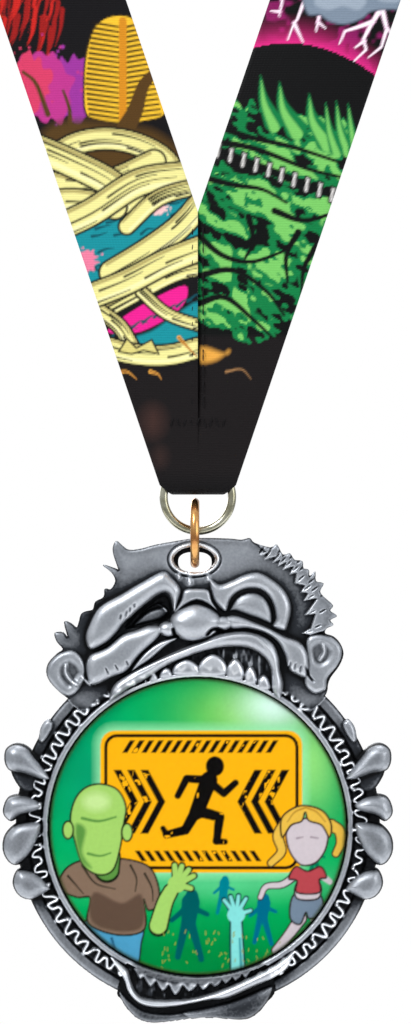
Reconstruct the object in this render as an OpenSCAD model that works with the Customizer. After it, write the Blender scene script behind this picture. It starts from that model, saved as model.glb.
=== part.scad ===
// Finisher medal on a neck ribbon, as it hangs on the wearer.
// Origin: where the ribbon rests on the nape of the neck. +Z is up and the wearer faces -Y.

/* [Ribbon] */
// Width of the ribbon, edge to edge
ribbon_w = 21; // [18:0.5:23]
// Thickness of one layer of ribbon
ribbon_t = 0.6; // [0.4:0.1:0.8]
// Angle of each strap from the vertical
strap_angle = 18.75; // [17:0.25:20]
// Length of each strap from the crotch of the V up to the shoulder
strap_len = 160; // [140:5:180]
// Depth from the nape back to the plane of the straps
neck_depth = 100; // [90:5:120]
// Height of the mitred V, from its crotch down to the fold
mitre_h = 47.9; // [46:0.1:50]

/* [Ribbon ring] */
// Mean radius of the ring sewn into the ribbon
ring_r = 5.8; // [5.6:0.1:6.2]
// Wire radius of that ring
ring_wire = 0.7; // [0.6:0.05:0.7]

/* [Jump ring] */
// Mean radius of the jump ring
jump_r = 5.2; // [5.1:0.05:5.3]
// Wire radius of the jump ring
jump_wire = 0.75; // [0.6:0.05:0.75]

/* [Medal] */
// Diameter of the printed insert, a two inch standard size
insert_d = 50.8; // [50:0.1:51]
// Outer radius of the round frame about the insert
frame_r = 30.9; // [30.5:0.1:31.5]
// Thickness of the casting without its relief
cast_t = 3; // [2.8:0.1:3]
// Depth of the round seat on the back, for an engraved plate
seat_depth = 0.7; // [0.5:0.1:0.8]

/* [Hidden] */
$fn = 64;

// Heights along the chain, measured on the medal from the insert's centre. The rings lie
// loosely in one another, with play at both ends of the jump ring.
hole_top = 46.5;        // upper edge of the hanging hole at the back
hole_x = -0.5;          // the hole lies a little left of the middle
bar_play = 1.2;         // jump ring's inner edge below the upper edge of the hole
ring_play = 3.4;        // ribbon ring's wire below the jump ring's upper inner edge
jump_z = hole_top + jump_r - jump_wire - bar_play;
ring_bottom_z = jump_z + jump_r - jump_wire - ring_wire - ring_play;
ring_z = ring_bottom_z + ring_r;

// The strap's direction, up and outwards, and across it, outwards and down
strap_dir = [sin(strap_angle), 0, cos(strap_angle)];
strap_across = [cos(strap_angle), 0, -sin(strap_angle)];

// Places in the whole object's frame
layer_gap = ring_wire + 0.3;                // inner face of a pocket layer from the ring's plane
front_y = -neck_depth;                      // plane of both rings and of the casting's middle
strap_y = front_y - layer_gap - ribbon_t / 2;
shoulder_x = ribbon_w / 2 * strap_across.x + strap_len * strap_dir.x;
shoulder_z = -16;                           // where the straps leave their plane
crotch_z = shoulder_z - ribbon_w / 2 * strap_across.z - strap_len * strap_dir.z;
fold_z = crotch_z - mitre_h;                // bottom of the fold
ring_drop = 0.35;                           // ribbon ring's centre below the fold
medal_z = fold_z - ring_drop - ring_z;      // insert's centre
hinge_z = shoulder_z - 6;                   // where the straps bend forward at the shoulders
hinge_gap = 0.4;

fold_r = layer_gap + ribbon_t;              // outer radius of the fold
tab_h = 25;                                 // height of the ribbon's end, turned up at the back
pocket_h = 9;                               // height of the open pocket, above which it is sewn
fold_half_w = ring_r - ring_wire - 0.5;     // half width of the fold where it threads the ring

// Medal depths, from the plane of the rings, positive to the front
back_z = -cast_t / 2;
face_z = cast_t / 2;
recess_z = 0.3;                             // floor of the insert's recess
glue_t = 0.15;
disc_t = 0.5;
dome_edge = 0.3;
dome_h = 1.3;
insert_r = insert_d / 2;
bead_r = insert_r + 1.4;                    // outer radius of the bead about the insert
groove_r = frame_r - 1.4;                   // inner radius of the plain outer rim

// Left finger roots and tips, on the medal: [tip x, tip y, inner x, inner y, radius]
fingers = [
  [-30.6, 11.3, -25, 7.8, 2.4], [-30.6, 3.2, -25.5, 3.3, 2.6],
  [-30.6, -3.2, -25.5, 0.5, 2.5], [-28.8, -9.7, -24, -10, 2.4]
];

// Hand-drawn outline of the head above the frame, clockwise from the left ear
head = [
  [-21.5, 20.5], [-24, 23], [-25.5, 27], [-25, 29], [-22.5, 30],
  [-24.5, 32.5], [-22, 32], [-22.5, 34.5], [-20.5, 33.5], [-19.8, 36],
  [-17.5, 37.8], [-15.8, 40], [-14.3, 41.5], [-16, 44.5], [-13.5, 43],
  [-14.4, 46], [-13.7, 48.5], [-12.5, 47.3], [-11, 46.8], [-7.5, 47.7],
  [-3.5, 48.5], [0.5, 48.9], [5.5, 48.7], [9, 48.5], [12.5, 47.5],
  [13.5, 47.6], [15, 46], [17.5, 44.7], [19.5, 43], [21, 40.5],
  [21, 38.8], [23, 37.3], [23.5, 35.5], [22, 33.5], [23.2, 32.3],
  [24.8, 29.5], [24.6, 27.6], [22.2, 24.7], [22, 22.8], [20.8, 21.9]
];
jaw = [
  [13, -28.3], [11.5, -29.3], [9.7, -31.8], [8, -32.8], [5, -32.7], [0.5, -32.3],
  [-3.5, -33], [-7.5, -33.4], [-10, -32.5], [-12.2, -30.5], [-13.3, -28]
];

// Raised fields of the face: outline on the medal, and height above the plate
brow_left = [[-5.5, 43], [-12, 38.8], [-18.5, 33], [-18, 30], [-13, 34.5], [-5, 39.3], [-3.6, 41]];
cheek_left = [[-7, 34], [-13, 32], [-18.5, 28.5], [-18, 24.5], [-14, 25.5], [-8, 31]];
cheek_right = [[5.3, 35.6], [10, 34.3], [15.5, 32.2], [18.5, 30], [18.2, 25.5], [14.5, 28.5], [12, 32.3]];
nose_bridge = [[-3.2, 37], [-2.2, 40.1], [1.2, 40.1], [2.2, 37]];
upper_lip = [
  [-14.5, 21.7], [-7.2, 27.5], [0.6, 30.8], [6.5, 32.9], [10.6, 31.8], [13.1, 28.1], [14, 22.6],
  [12, 23.6], [11.2, 27.2], [9, 29.6], [6.3, 30.4], [0.6, 28.4], [-6.5, 25.4], [-12.3, 22.8]
];
lower_lip = [
  [-12, -26.5], [-11, -29], [-8, -31.4], [0, -30.3], [8, -31.2], [11, -28.8], [13.5, -26],
  [9.5, -27.4], [0, -28.4], [-8, -28.6]
];

function unit(v) = v / norm(v);
function bezier(a, b, c, d, t) =
  pow(1 - t, 3) * a + 3 * pow(1 - t, 2) * t * b + 3 * (1 - t) * t * t * c + pow(t, 3) * d;
function bezier_dir(a, b, c, d, t) =
  unit(3 * pow(1 - t, 2) * (b - a) + 6 * (1 - t) * t * (c - b) + 3 * t * t * (d - c));

// Route of the ribbon's middle line from the right shoulder round to the nape
route = [
  [shoulder_x, strap_y, shoulder_z],
  [shoulder_x, strap_y, shoulder_z] + 45 * strap_dir,
  [64, 0, 0],
  [0, 0, 0]
];
nape_across = unit([0, 0.35, -0.94]);       // the ribbon lies back against the neck
steps = 22;

function mirrored(p) = [-p.x, p.y, p.z];
// Direction across the ribbon at a place on the route: from the strap's to the nape's,
// by way of the outward one over the shoulder
function across_at(t) =
  let (
    along = bezier_dir(route[0], route[1], route[2], route[3], t),
    outward = unit([1 - t, 0.9 * t, -0.25]),
    lean = (1 - t) * (1 - t) * strap_across + 2 * t * (1 - t) * outward + t * t * nape_across
  ) unit(lean - (lean * along) * along);

// The four corners of the ribbon's section at a place on the route
function section_at(t) =
  let (
    at = bezier(route[0], route[1], route[2], route[3], t),
    along = bezier_dir(route[0], route[1], route[2], route[3], t),
    across = across_at(t) * ribbon_w / 2,
    up = cross(along, unit(across)) * ribbon_t / 2
  ) [at - across - up, at + across - up, at + across + up, at - across + up];

// The first section is cut level, just above the shoulder bend
function level_section(z) =
  [for (p = section_at(0)) p - (p.z - z) / strap_dir.z * strap_dir];

function right_half() = concat(
  [level_section(hinge_z + hinge_gap)],
  [for (i = [0:steps - 1]) section_at(i / steps)]
);
function left_half() =
  let (r = right_half(), n = len(r))
  [for (i = [n - 1:-1:0]) [for (p = r[i]) mirrored(p)]];

// A closed tube through a list of four-cornered sections
module ribbon_tube(sections) {
  n = len(sections);
  points = [for (s = sections) for (p = s) p];
  sides = [for (i = [0:n - 2]) for (k = [0:3])
    [4 * i + k, 4 * i + (k + 1) % 4, 4 * (i + 1) + (k + 1) % 4, 4 * (i + 1) + k]];
  last = 4 * (n - 1);
  triangles = [for (f = sides) each [[f[0], f[2], f[1]], [f[0], f[3], f[2]]]];
  ends = [[0, 1, 2], [0, 2, 3], [last, last + 2, last + 1], [last, last + 3, last + 2]];
  polyhedron(points, concat(triangles, ends), convexity = 10);
}

// Moves a shape drawn flat on the medal to its place, its height towards the wearer's front
module on_medal() {
  translate([0, front_y, medal_z]) rotate([90, 0, 0]) children();
}

// Moves a shape drawn flat in the plane of the straps to its place
module on_straps() {
  translate([0, strap_y, 0]) rotate([90, 0, 0]) children();
}

// One strap, right of the middle line, down to where the fold begins
module strap_outline() {
  inner = [0, crotch_z];
  outer = inner + ribbon_w * [strap_across.x, strap_across.z];
  dir = [strap_dir.x, strap_dir.z];
  top = hinge_z - hinge_gap;
  bottom = fold_z + fold_r;
  polygon([
    inner,
    inner + (top - inner.y) / dir.y * dir,
    outer + (top - outer.y) / dir.y * dir,
    outer + (bottom - outer.y) / dir.y * dir,
    [0, bottom]
  ]);
}

module strap() {
  on_straps() linear_extrude(ribbon_t, center = true) strap_outline();
}

module ribbon_neck_band() {
  color([0.45, 0.18, 0.3]) ribbon_tube(concat(right_half(), [section_at(1)], left_half()));
}

module ribbon_strap_left() {
  color([0.75, 0.7, 0.5]) mirror([1, 0, 0]) strap();
}

module ribbon_strap_right() {
  color([0.15, 0.45, 0.28]) strap();
}

// Side view of the turned-up end: front lap, fold, back of the pocket, tab sewn to the strap
module pocket_profile() {
  tab_inner = -layer_gap;
  difference() {
    circle(r = fold_r);
    circle(r = layer_gap);
    translate([-5, 0]) square([10, 5]);
  }
  polygon([
    [layer_gap, 0], [fold_r, 0], [fold_r, pocket_h - fold_r - 2],
    [tab_inner + ribbon_t, pocket_h], [tab_inner + ribbon_t, tab_h],
    [tab_inner, tab_h], [tab_inner, pocket_h - 1], [layer_gap, pocket_h - fold_r - 2.6]
  ]);
}

module ribbon_pocket() {
  span = 60;
  color([0.12, 0.11, 0.12]) difference() {
    intersection() {
      translate([-span / 2, front_y, fold_z + fold_r])
        rotate([90, 0, 90]) linear_extrude(span) pocket_profile();
      translate([0, front_y, 0]) rotate([90, 0, 0])
        linear_extrude(20, center = true) {
          lap = [ribbon_w * strap_across.x, crotch_z + ribbon_w * strap_across.z];
          dir = [strap_dir.x, strap_dir.z];
          low = lap + (fold_z - 1 - lap.y) / dir.y * dir;
          high = lap + (fold_z + fold_r + tab_h - lap.y) / dir.y * dir;
          inset = 0.6;
          polygon([
            [low.x - inset, low.y], [high.x - inset, high.y],
            [inset - high.x, high.y], [inset - low.x, low.y]
          ]);
        }
    }
    // The ring's wire leaves the pocket on both sides of the fold
    for (side = [-1, 1])
      translate([side * (fold_half_w + 5), front_y, fold_z])
        cube([10, 2 * layer_gap, 12], center = true);
  }
}

// One thread stitch lying on the front of the straps
module stitch(x, z, length, tilt) {
  thread_r = 0.16;
  translate([x, strap_y - ribbon_t / 2 - thread_r + 0.02, z])
    rotate([0, tilt, 0]) cylinder(r = thread_r, h = length, center = true, $fn = 8);
}

module mitre_stitches() {
  pitch = 2.6;
  rows = floor((mitre_h - 16) / pitch);
  color([0.2, 0.19, 0.2])
    for (i = [0:rows - 1]) for (side = [-1, 1])
      stitch(side * 0.9, crotch_z - 3.5 - i * pitch, 1.9, 0);
}

module bar_tack_stitches() {
  tack_z = fold_z + fold_r + pocket_h + 1.6;
  pitch = 1.1;
  color([0.2, 0.19, 0.2])
    for (i = [-4:4]) stitch(i * pitch, tack_z, 1.7, i % 2 == 0 ? 18 : -18);
}

// A wire ring about its own axis with a butted split at a given angle
module wire_ring(r, wire, split_angle) {
  split = 0.12;
  difference() {
    rotate_extrude() translate([r, 0]) circle(r = wire);
    rotate([0, 0, split_angle]) translate([r, 0, 0]) cube([4 * wire, split, 4 * wire], center = true);
  }
}

module ribbon_ring() {
  color([0.75, 0.74, 0.62]) translate([0, front_y, fold_z - ring_drop])
    rotate([90, 0, 0]) wire_ring(ring_r, ring_wire, 75);
}

module jump_ring() {
  color([0.82, 0.6, 0.3]) translate([hole_x, front_y, medal_z + jump_z])
    rotate([0, 90, 0]) wire_ring(jump_r, jump_wire, 140);
}

// Hanging hole: a slot with round ends
module hole_outline(half_w, half_h) {
  for (side = [-1, 1]) translate([side * (half_w - half_h), 0]) circle(r = half_h);
  square([2 * (half_w - half_h), 2 * half_h], center = true);
}

// A raised field of the face, standing on the plate
module field(outline, height) {
  translate([0, 0, face_z - 0.2]) linear_extrude(height + 0.2) polygon(outline);
}

// A part of a ball that stands on the plate
module bump(x, y, r, rise) {
  translate([x, y, face_z + rise - r]) intersection() {
    sphere(r = r);
    translate([-r, -r, r - rise - 0.3]) cube(2 * r);
  }
}

// A finger that grips the frame's edge: round tip outside, tapered inwards
module finger(f) {
  run = [f[2] - f[0], f[3] - f[1]];
  intersection() {
    translate([f[0], f[1], 0.6]) {
      sphere(r = f[4]);
      rotate([0, 0, atan2(run.y, run.x)]) rotate([0, 90, 0])
        cylinder(r1 = f[4] - 0.05, r2 = 1, h = norm(run));
    }
    translate([-50, -50, back_z]) cube([100, 100, 10]);
  }
}

module tooth(x, y, half_w, tall) {
  translate([x, y, face_z - 0.2]) linear_extrude(0.9) {
    translate([0, tall - half_w]) circle(r = half_w);
    translate([-half_w, 0]) square([2 * half_w, tall - half_w]);
  }
}

module round_frame() {
  translate([0, 0, back_z]) cylinder(r = frame_r, h = cast_t, $fn = 128);
  difference() {
    cylinder(r = frame_r, h = face_z + 0.6, $fn = 128);
    cylinder(r = groove_r, h = 9, $fn = 128);
  }
  difference() {
    cylinder(r = bead_r, h = face_z + 0.9, $fn = 128);
    cylinder(r = insert_r, h = 9, $fn = 128);
  }
}

module face_relief() {
  field(brow_left, 1.4);
  field(cheek_left, 1.3);
  field(cheek_right, 1.2);
  field(nose_bridge, 1);
  field(upper_lip, 1.6);
  field(lower_lip, 1.5);
  bump(-0.3, 35.2, 3.4, 2.8);
  bump(-5, 33.6, 1.8, 1.4);
  bump(4, 33.8, 1.8, 1.4);
  bump(8.9, 36.6, 6, 1.6);
  translate([8.9, 36.4, face_z - 0.2]) linear_extrude(1.4) difference() {
    circle(r = 6.4);
    circle(r = 4.4);
    translate([-8, -10]) square([16, 10]);
  }
  for (side = [-1, 1]) translate([side * 21.3, 27.6, face_z - 0.2]) linear_extrude(1.2)
    difference() {
      circle(r = 3.2);
      circle(r = 2.1);
    }
  upper_teeth = [[-6.3, 1.3, 3], [-2.2, 1.9, 4], [2.4, 1.9, 4.6], [6.3, 1.5, 4.2], [9.3, 1.1, 3.2]];
  for (t = upper_teeth) tooth(t[0], sqrt(bead_r * bead_r - t[0] * t[0]) - 0.5, t[1], t[2] - 1.2);
}

module medal_casting() {
  color([0.5, 0.51, 0.53]) on_medal() difference() {
    union() {
      difference() {
        union() {
          round_frame();
          translate([0, 0, back_z]) linear_extrude(cast_t) polygon(head);
          translate([0, 0, back_z]) linear_extrude(cast_t) polygon(jaw);
          face_relief();
        }
        translate([0, 0, recess_z]) cylinder(r = insert_r, h = 10, $fn = 128);
      }
      for (side = [0, 1]) mirror([side, 0, 0]) for (f = fingers) finger(f);
    }
    translate([0, 0, recess_z]) cylinder(r = insert_r, h = 1, $fn = 128);
    // Hanging hole, wider at the front
    translate([hole_x, hole_top - 1.7, back_z - 1]) linear_extrude(20) hole_outline(2.8, 1.7);
    translate([hole_x, hole_top - 1.2, 0.2]) linear_extrude(20) hole_outline(3.5, 2.35);
    // Round seat for an engraved plate on the back
    translate([0, 0, back_z - 1]) cylinder(r = insert_r, h = 1 + seat_depth, $fn = 128);
  }
}

module insert_adhesive() {
  color([0.85, 0.83, 0.7]) on_medal() translate([0, 0, recess_z])
    cylinder(r = insert_r - 0.5, h = glue_t, $fn = 128);
}

module insert_disc() {
  color([0.05, 0.6, 0.35]) on_medal() translate([0, 0, recess_z + glue_t])
    cylinder(r = insert_r - 0.15, h = disc_t, $fn = 128);
}

// Clear poured dome: a low crown on a short straight edge
module insert_dome() {
  r = insert_r - 0.25;
  rings = 10;
  crown = [for (i = [0:rings]) [r * i / rings, dome_h - (dome_h - dome_edge) * pow(i / rings, 2)]];
  color([0.9, 0.97, 0.95, 0.35]) on_medal() translate([0, 0, recess_z + glue_t + disc_t])
    rotate_extrude($fn = 128) polygon(concat([[0, 0]], crown, [[r, 0]]));
}

ribbon_neck_band();
ribbon_strap_left();
ribbon_strap_right();
ribbon_pocket();
mitre_stitches();
bar_tack_stitches();
ribbon_ring();
jump_ring();
medal_casting();
insert_adhesive();
insert_disc();
insert_dome();
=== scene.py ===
"""Looks of the finisher medal: antique silver casting, domed print, rings and printed ribbon."""
import math

import bmesh
import bpy
import numpy as np
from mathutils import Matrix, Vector


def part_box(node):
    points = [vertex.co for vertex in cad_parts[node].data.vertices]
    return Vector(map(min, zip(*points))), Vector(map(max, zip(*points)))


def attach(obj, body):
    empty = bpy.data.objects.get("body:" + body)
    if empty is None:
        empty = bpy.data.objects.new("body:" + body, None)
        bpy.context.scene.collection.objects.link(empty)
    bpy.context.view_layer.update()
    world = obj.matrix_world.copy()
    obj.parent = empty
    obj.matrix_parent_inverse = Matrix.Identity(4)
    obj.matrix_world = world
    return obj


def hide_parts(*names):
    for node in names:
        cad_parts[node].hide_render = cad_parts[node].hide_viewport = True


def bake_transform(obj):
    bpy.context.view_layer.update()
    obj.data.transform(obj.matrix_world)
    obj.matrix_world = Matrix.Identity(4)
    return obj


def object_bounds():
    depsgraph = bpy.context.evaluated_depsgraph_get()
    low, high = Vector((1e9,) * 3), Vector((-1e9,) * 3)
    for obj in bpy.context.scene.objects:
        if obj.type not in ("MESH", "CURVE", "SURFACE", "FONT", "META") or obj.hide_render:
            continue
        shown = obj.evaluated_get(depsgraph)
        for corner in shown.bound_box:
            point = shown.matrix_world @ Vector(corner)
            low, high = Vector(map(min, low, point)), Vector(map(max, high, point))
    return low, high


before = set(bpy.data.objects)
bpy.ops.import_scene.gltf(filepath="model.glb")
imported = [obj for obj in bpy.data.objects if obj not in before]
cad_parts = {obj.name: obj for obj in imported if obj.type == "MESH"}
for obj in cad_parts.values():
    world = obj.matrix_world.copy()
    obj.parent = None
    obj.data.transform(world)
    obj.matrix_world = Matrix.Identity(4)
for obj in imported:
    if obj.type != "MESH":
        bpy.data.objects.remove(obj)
cad_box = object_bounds()
MM = 0.001


# ---------------------------------------------------------------- places, from the frame
def box_mm(node):
    """Lowest and highest corner of a CAD node, in millimetres."""
    low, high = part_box(node)
    return np.array(low) / MM, np.array(high) / MM


disc_low, disc_high = box_mm("insert_disc")
ring_low, ring_high = box_mm("ribbon_ring")
jump_low, jump_high = box_mm("jump_ring")
strap_low, strap_high = box_mm("ribbon_strap_right")
DISC_R = (disc_high[0] - disc_low[0]) / 2
MEDAL_Z = (disc_high[2] + disc_low[2]) / 2
RING_PLANE = (ring_high[1] + ring_low[1]) / 2
RING_Z = (ring_high[2] + ring_low[2]) / 2
STRAP_Y = (strap_high[1] + strap_low[1]) / 2
RIBBON_T = strap_high[1] - strap_low[1]
HINGE_Z = strap_high[2]
RIBBON_W = 21.0
STRAP_TILT = math.radians(18.75)
STRAP_TAN = math.tan(STRAP_TILT)
RING_DROP = 0.35             # the ring's middle hangs this far below the fold
MITRE_H = 47.9               # height of the sewn part of the V
FOLD_Z = RING_Z + RING_DROP  # underside of the ribbon's fold
CROTCH_Z = FOLD_Z + MITRE_H  # where the two straps part


# ---------------------------------------------------------------- small helpers
def rgb(r, g, b):
    """Linear colour of an 8-bit display colour."""
    c = np.array([r, g, b]) / 255
    return np.where(c <= 0.04045, c / 12.92, ((c + 0.055) / 1.055) ** 2.4)


def unit(v):
    v = np.asarray(v, float)
    return v / np.linalg.norm(v)


def smooth_step(t):
    t = np.clip(t, 0, 1)
    return t * t * (3 - 2 * t)


def round_off(t):
    """Quarter circle from 0 at the edge to 1."""
    return np.sqrt(np.clip(1 - (1 - np.clip(t, 0, 1)) ** 2, 0, 1))


def curve(points, closed=True, steps=5):
    """Points along a smooth curve through the given ones."""
    p = np.asarray(points, float)
    if closed:
        a, b, c, d = np.roll(p, 1, 0), p, np.roll(p, -1, 0), np.roll(p, -2, 0)
    else:
        q = np.vstack([2 * p[0] - p[1], p, 2 * p[-1] - p[-2]])
        a, b, c, d = q[:-3], q[1:-2], q[2:-1], q[3:]
    t = (np.arange(steps) / steps)[None, :, None]
    a, b, c, d = (v[:, None, :] for v in (a, b, c, d))
    out = b + (c - a) * t / 2 + (2 * a - 5 * b + 4 * c - d) * t**2 / 2 + (3 * b - a - 3 * c + d) * t**3 / 2
    out = out.reshape(-1, p.shape[1])
    return out if closed else np.vstack([out, p[-1]])


def noise(x, z, scale, seed):
    """Smooth value noise from 0 to 1, with features about scale wide."""
    cells = np.random.default_rng(seed).random((64, 64))
    u, v = x / scale + 1000, z / scale + 1000
    i, j = np.floor(u).astype(int), np.floor(v).astype(int)
    a, b = smooth_step(u - i), smooth_step(v - j)
    i, j = i % 63, j % 63
    low = cells[i, j] * (1 - a) + cells[i + 1, j] * a
    high = cells[i, j + 1] * (1 - a) + cells[i + 1, j + 1] * a
    return low * (1 - b) + high * b


class Plane:
    """Points of a flat drawing, in millimetres."""

    def __init__(self, x, z):
        self.x, self.z = x, z

    def near(self, line, margin):
        low, high = line.min(0) - margin, line.max(0) + margin
        inside = (self.x > low[0]) & (self.x < high[0]) & (self.z > low[1]) & (self.z < high[1])
        return np.flatnonzero(inside)

    def reach(self, line, at, closed=False):
        """Distance from the line, and the share of its length at the nearest place."""
        ends = np.roll(line, -1, 0) if closed else line[1:]
        starts = line if closed else line[:-1]
        lengths = np.hypot(*(ends - starts).T)
        before = np.concatenate([[0], np.cumsum(lengths)])
        x, z = self.x[at], self.z[at]
        best = np.full(len(at), 1e9)
        share = np.zeros(len(at))
        for (ax, az), (bx, bz), length, run in zip(starts, ends, lengths, before):
            if length < 1e-9:
                continue
            t = np.clip(((x - ax) * (bx - ax) + (z - az) * (bz - az)) / length**2, 0, 1)
            d = np.hypot(x - ax - t * (bx - ax), z - az - t * (bz - az))
            closer = d < best
            best[closer] = d[closer]
            share[closer] = (run + t[closer] * length) / before[-1]
        return best, share

    def depth(self, line, at):
        """Distance inside a closed outline, negative outside it."""
        x, z = self.x[at], self.z[at]
        inside = np.zeros(len(at), bool)
        for (ax, az), (bx, bz) in zip(line, np.roll(line, -1, 0)):
            if az == bz:
                continue
            crosses = ((az > z) != (bz > z)) & (x < (bx - ax) * (z - az) / (bz - az) + ax)
            inside ^= crosses
        d, _ = self.reach(line, at, closed=True)
        return np.where(inside, d, -d)


class Canvas(Plane):
    """A print: each point has a colour."""

    def __init__(self, x, z, colour):
        super().__init__(x, z)
        self.colour = np.tile(np.asarray(colour, float), (len(x), 1))
        self.soft = 0.13

    def lay(self, at, cover, colour):
        cover = np.clip(cover, 0, 1)[:, None]
        self.colour[at] = self.colour[at] * (1 - cover) + np.asarray(colour) * cover

    def shape(self, points, colour, line=None, width=0.3, curved=True, soft=None):
        """A filled outline with an optional inked edge."""
        soft = soft or self.soft
        outline = curve(points) if curved else np.asarray(points, float)
        at = self.near(outline, width + 2 * soft)
        d = self.depth(outline, at)
        self.lay(at, 0.5 + d / soft / 2, colour)
        if line is not None:
            self.lay(at, 0.5 + (width / 2 - np.abs(d)) / self.soft / 2, line)

    def stroke(self, points, colour, width, end=None, curved=True):
        """A brush line whose width runs from width to end."""
        path = curve(points, closed=False) if curved else np.asarray(points, float)
        at = self.near(path, width)
        d, share = self.reach(path, at)
        half = (width + ((width if end is None else end) - width) * share) / 2
        self.lay(at, 0.5 + (half - d) / self.soft / 2, colour)

    def oval(self, cx, cz, rx, rz, colour, tilt=0.0, **inked):
        """An ellipse, turned by tilt degrees."""
        a = np.linspace(0, 2 * np.pi, 14, endpoint=False)
        turn = math.radians(tilt)
        x, z = rx * np.cos(a), rz * np.sin(a)
        ring = [x * math.cos(turn) - z * math.sin(turn) + cx, x * math.sin(turn) + z * math.cos(turn) + cz]
        self.shape(np.stack(ring, 1), colour, **inked)


class Relief(Plane):
    """A modelled surface: each point has a height."""

    def __init__(self, x, z):
        super().__init__(x, z)
        self.h = np.zeros(len(x))
        self.tint = np.zeros(len(x))

    def form(self, points, rise, roll, foot=1.5, curved=True):
        """A rounded raised form on a foot height, its edge rolling over within roll."""
        outline = curve(points) if curved else np.asarray(points, float)
        at = self.near(outline, 0)
        d = self.depth(outline, at)
        top = foot + rise * round_off(d / roll)
        self.h[at] = np.where(d > 0, np.maximum(self.h[at], top), self.h[at])

    def hollow(self, points, drop, roll, curved=True):
        """A sunk field with sloping sides."""
        outline = curve(points) if curved else np.asarray(points, float)
        at = self.near(outline, 0)
        self.h[at] -= drop * smooth_step(self.depth(outline, at) / roll)

    def shade(self, points, amount, roll):
        """Rubs a field brighter, or leaves it darker where amount is negative."""
        outline = curve(points)
        at = self.near(outline, roll)
        self.tint[at] += amount * smooth_step(0.5 + self.depth(outline, at) / roll)

    def ridge(self, points, width, rise, closed=False, fade=0.0, curved=True, polish_and_highlight=0.0):
        """A rounded ridge along a line, or a groove where rise is negative, its tone raised along it by the
        last argument: rubbed bright metal with a painted highlight along the ridge.
        """
        path = curve(points, closed) if curved else np.asarray(points, float)
        at = self.near(path, 3 * width)
        d, share = self.reach(path, at, closed)
        ends = 1.0 if fade == 0 else np.clip(np.minimum(share, 1 - share) / fade, 0, 1)
        swell = np.exp(-((d / width) ** 2)) * ends
        self.h[at] += rise * swell
        # painted highlight along the ridge, together with its rubbed bright finish
        self.tint[at] += polish_and_highlight * swell


def add_object(name, verts, faces, body, material, smooth=True):
    """Makes a piece from points in millimetres and lets it ride on its body."""
    mesh = bpy.data.meshes.new(name)
    mesh.from_pydata((np.asarray(verts) * MM).tolist(), [], faces)
    bm = bmesh.new()
    bm.from_mesh(mesh)
    bmesh.ops.recalc_face_normals(bm, faces=bm.faces)
    bm.to_mesh(mesh)
    bm.free()
    mesh.polygons.foreach_set("use_smooth", [smooth] * len(mesh.polygons))
    piece = bpy.data.objects.new(name, mesh)
    bpy.context.collection.objects.link(piece)
    mesh.materials.append(material)
    if body:
        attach(piece, body)
    return piece


def add_colour(piece, colour):
    data = np.ones((len(colour), 4))
    data[:, :3] = colour
    piece.data.color_attributes.new("print", "FLOAT_COLOR", "POINT").data.foreach_set("color", data.ravel())


def add_value(piece, name, values):
    piece.data.attributes.new(name, "FLOAT", "POINT").data.foreach_set("value", np.asarray(values, float))


def on_medal(x, z, depth):
    """World places of points drawn on the medal, depth positive towards the front."""
    return np.stack([x, RING_PLANE - depth, z + MEDAL_Z], -1)


# ---------------------------------------------------------------- materials
class Look:
    """A node material, built a node at a time."""

    def __init__(self, name, **sockets):
        self.mat = bpy.data.materials.new(name)
        self.mat.use_nodes = True
        self.tree = self.mat.node_tree
        self.bsdf = self.tree.nodes["Principled BSDF"]
        for key, value in sockets.items():
            self.bsdf.inputs[key.replace("_", " ")].default_value = value
        self.place = self.add("ShaderNodeTexCoord").outputs["Object"]

    def add(self, kind, inputs=(), **props):
        made = self.tree.nodes.new(kind)
        for key, value in props.items():
            setattr(made, key, value)
        for key, value in dict(inputs).items():
            if isinstance(value, bpy.types.NodeSocket):
                self.tree.links.new(value, made.inputs[key])
            else:
                made.inputs[key].default_value = value
        return made

    def noise(self, size, detail=3.0, stretch=None):
        """Noise with features of size metres."""
        vector = self.place
        if stretch:
            vector = self.add("ShaderNodeMapping", {"Vector": vector, "Scale": stretch}).outputs[0]
        made = self.add("ShaderNodeTexNoise", {"Vector": vector, "Scale": 1 / size, "Detail": detail})
        return made.outputs["Fac"]

    def sum(self, a, b, operation="ADD", clamp=False):
        return self.add("ShaderNodeMath", {0: a, 1: b}, operation=operation, use_clamp=clamp).outputs[0]

    def span(self, value, low, high):
        """Maps 0..1 to low..high."""
        return self.add("ShaderNodeMapRange", {"Value": value, "To Min": low, "To Max": high}).outputs[0]

    def ramp(self, value, stops):
        made = self.add("ShaderNodeValToRGB", {"Fac": value})
        ramp = made.color_ramp
        while len(ramp.elements) < len(stops):
            ramp.elements.new(0.5)
        for element, (place, colour) in zip(ramp.elements, stops):
            element.position = place
            element.color = (*colour, 1)
        return made.outputs["Color"]

    def mix(self, share, a, b, blend="MIX"):
        made = self.add("ShaderNodeMix", data_type="RGBA", blend_type=blend)
        for socket, value in zip((made.inputs[0], made.inputs[6], made.inputs[7]), (share, a, b)):
            if isinstance(value, bpy.types.NodeSocket):
                self.tree.links.new(value, socket)
            else:
                socket.default_value = value
        return made.outputs[2]

    def link(self, socket, value):
        self.tree.links.new(value, self.bsdf.inputs[socket])

    def bump(self, height, distance, strength=1.0):
        made = self.add("ShaderNodeBump", {"Height": height, "Distance": distance, "Strength": strength})
        self.link("Normal", made.outputs[0])


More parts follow.
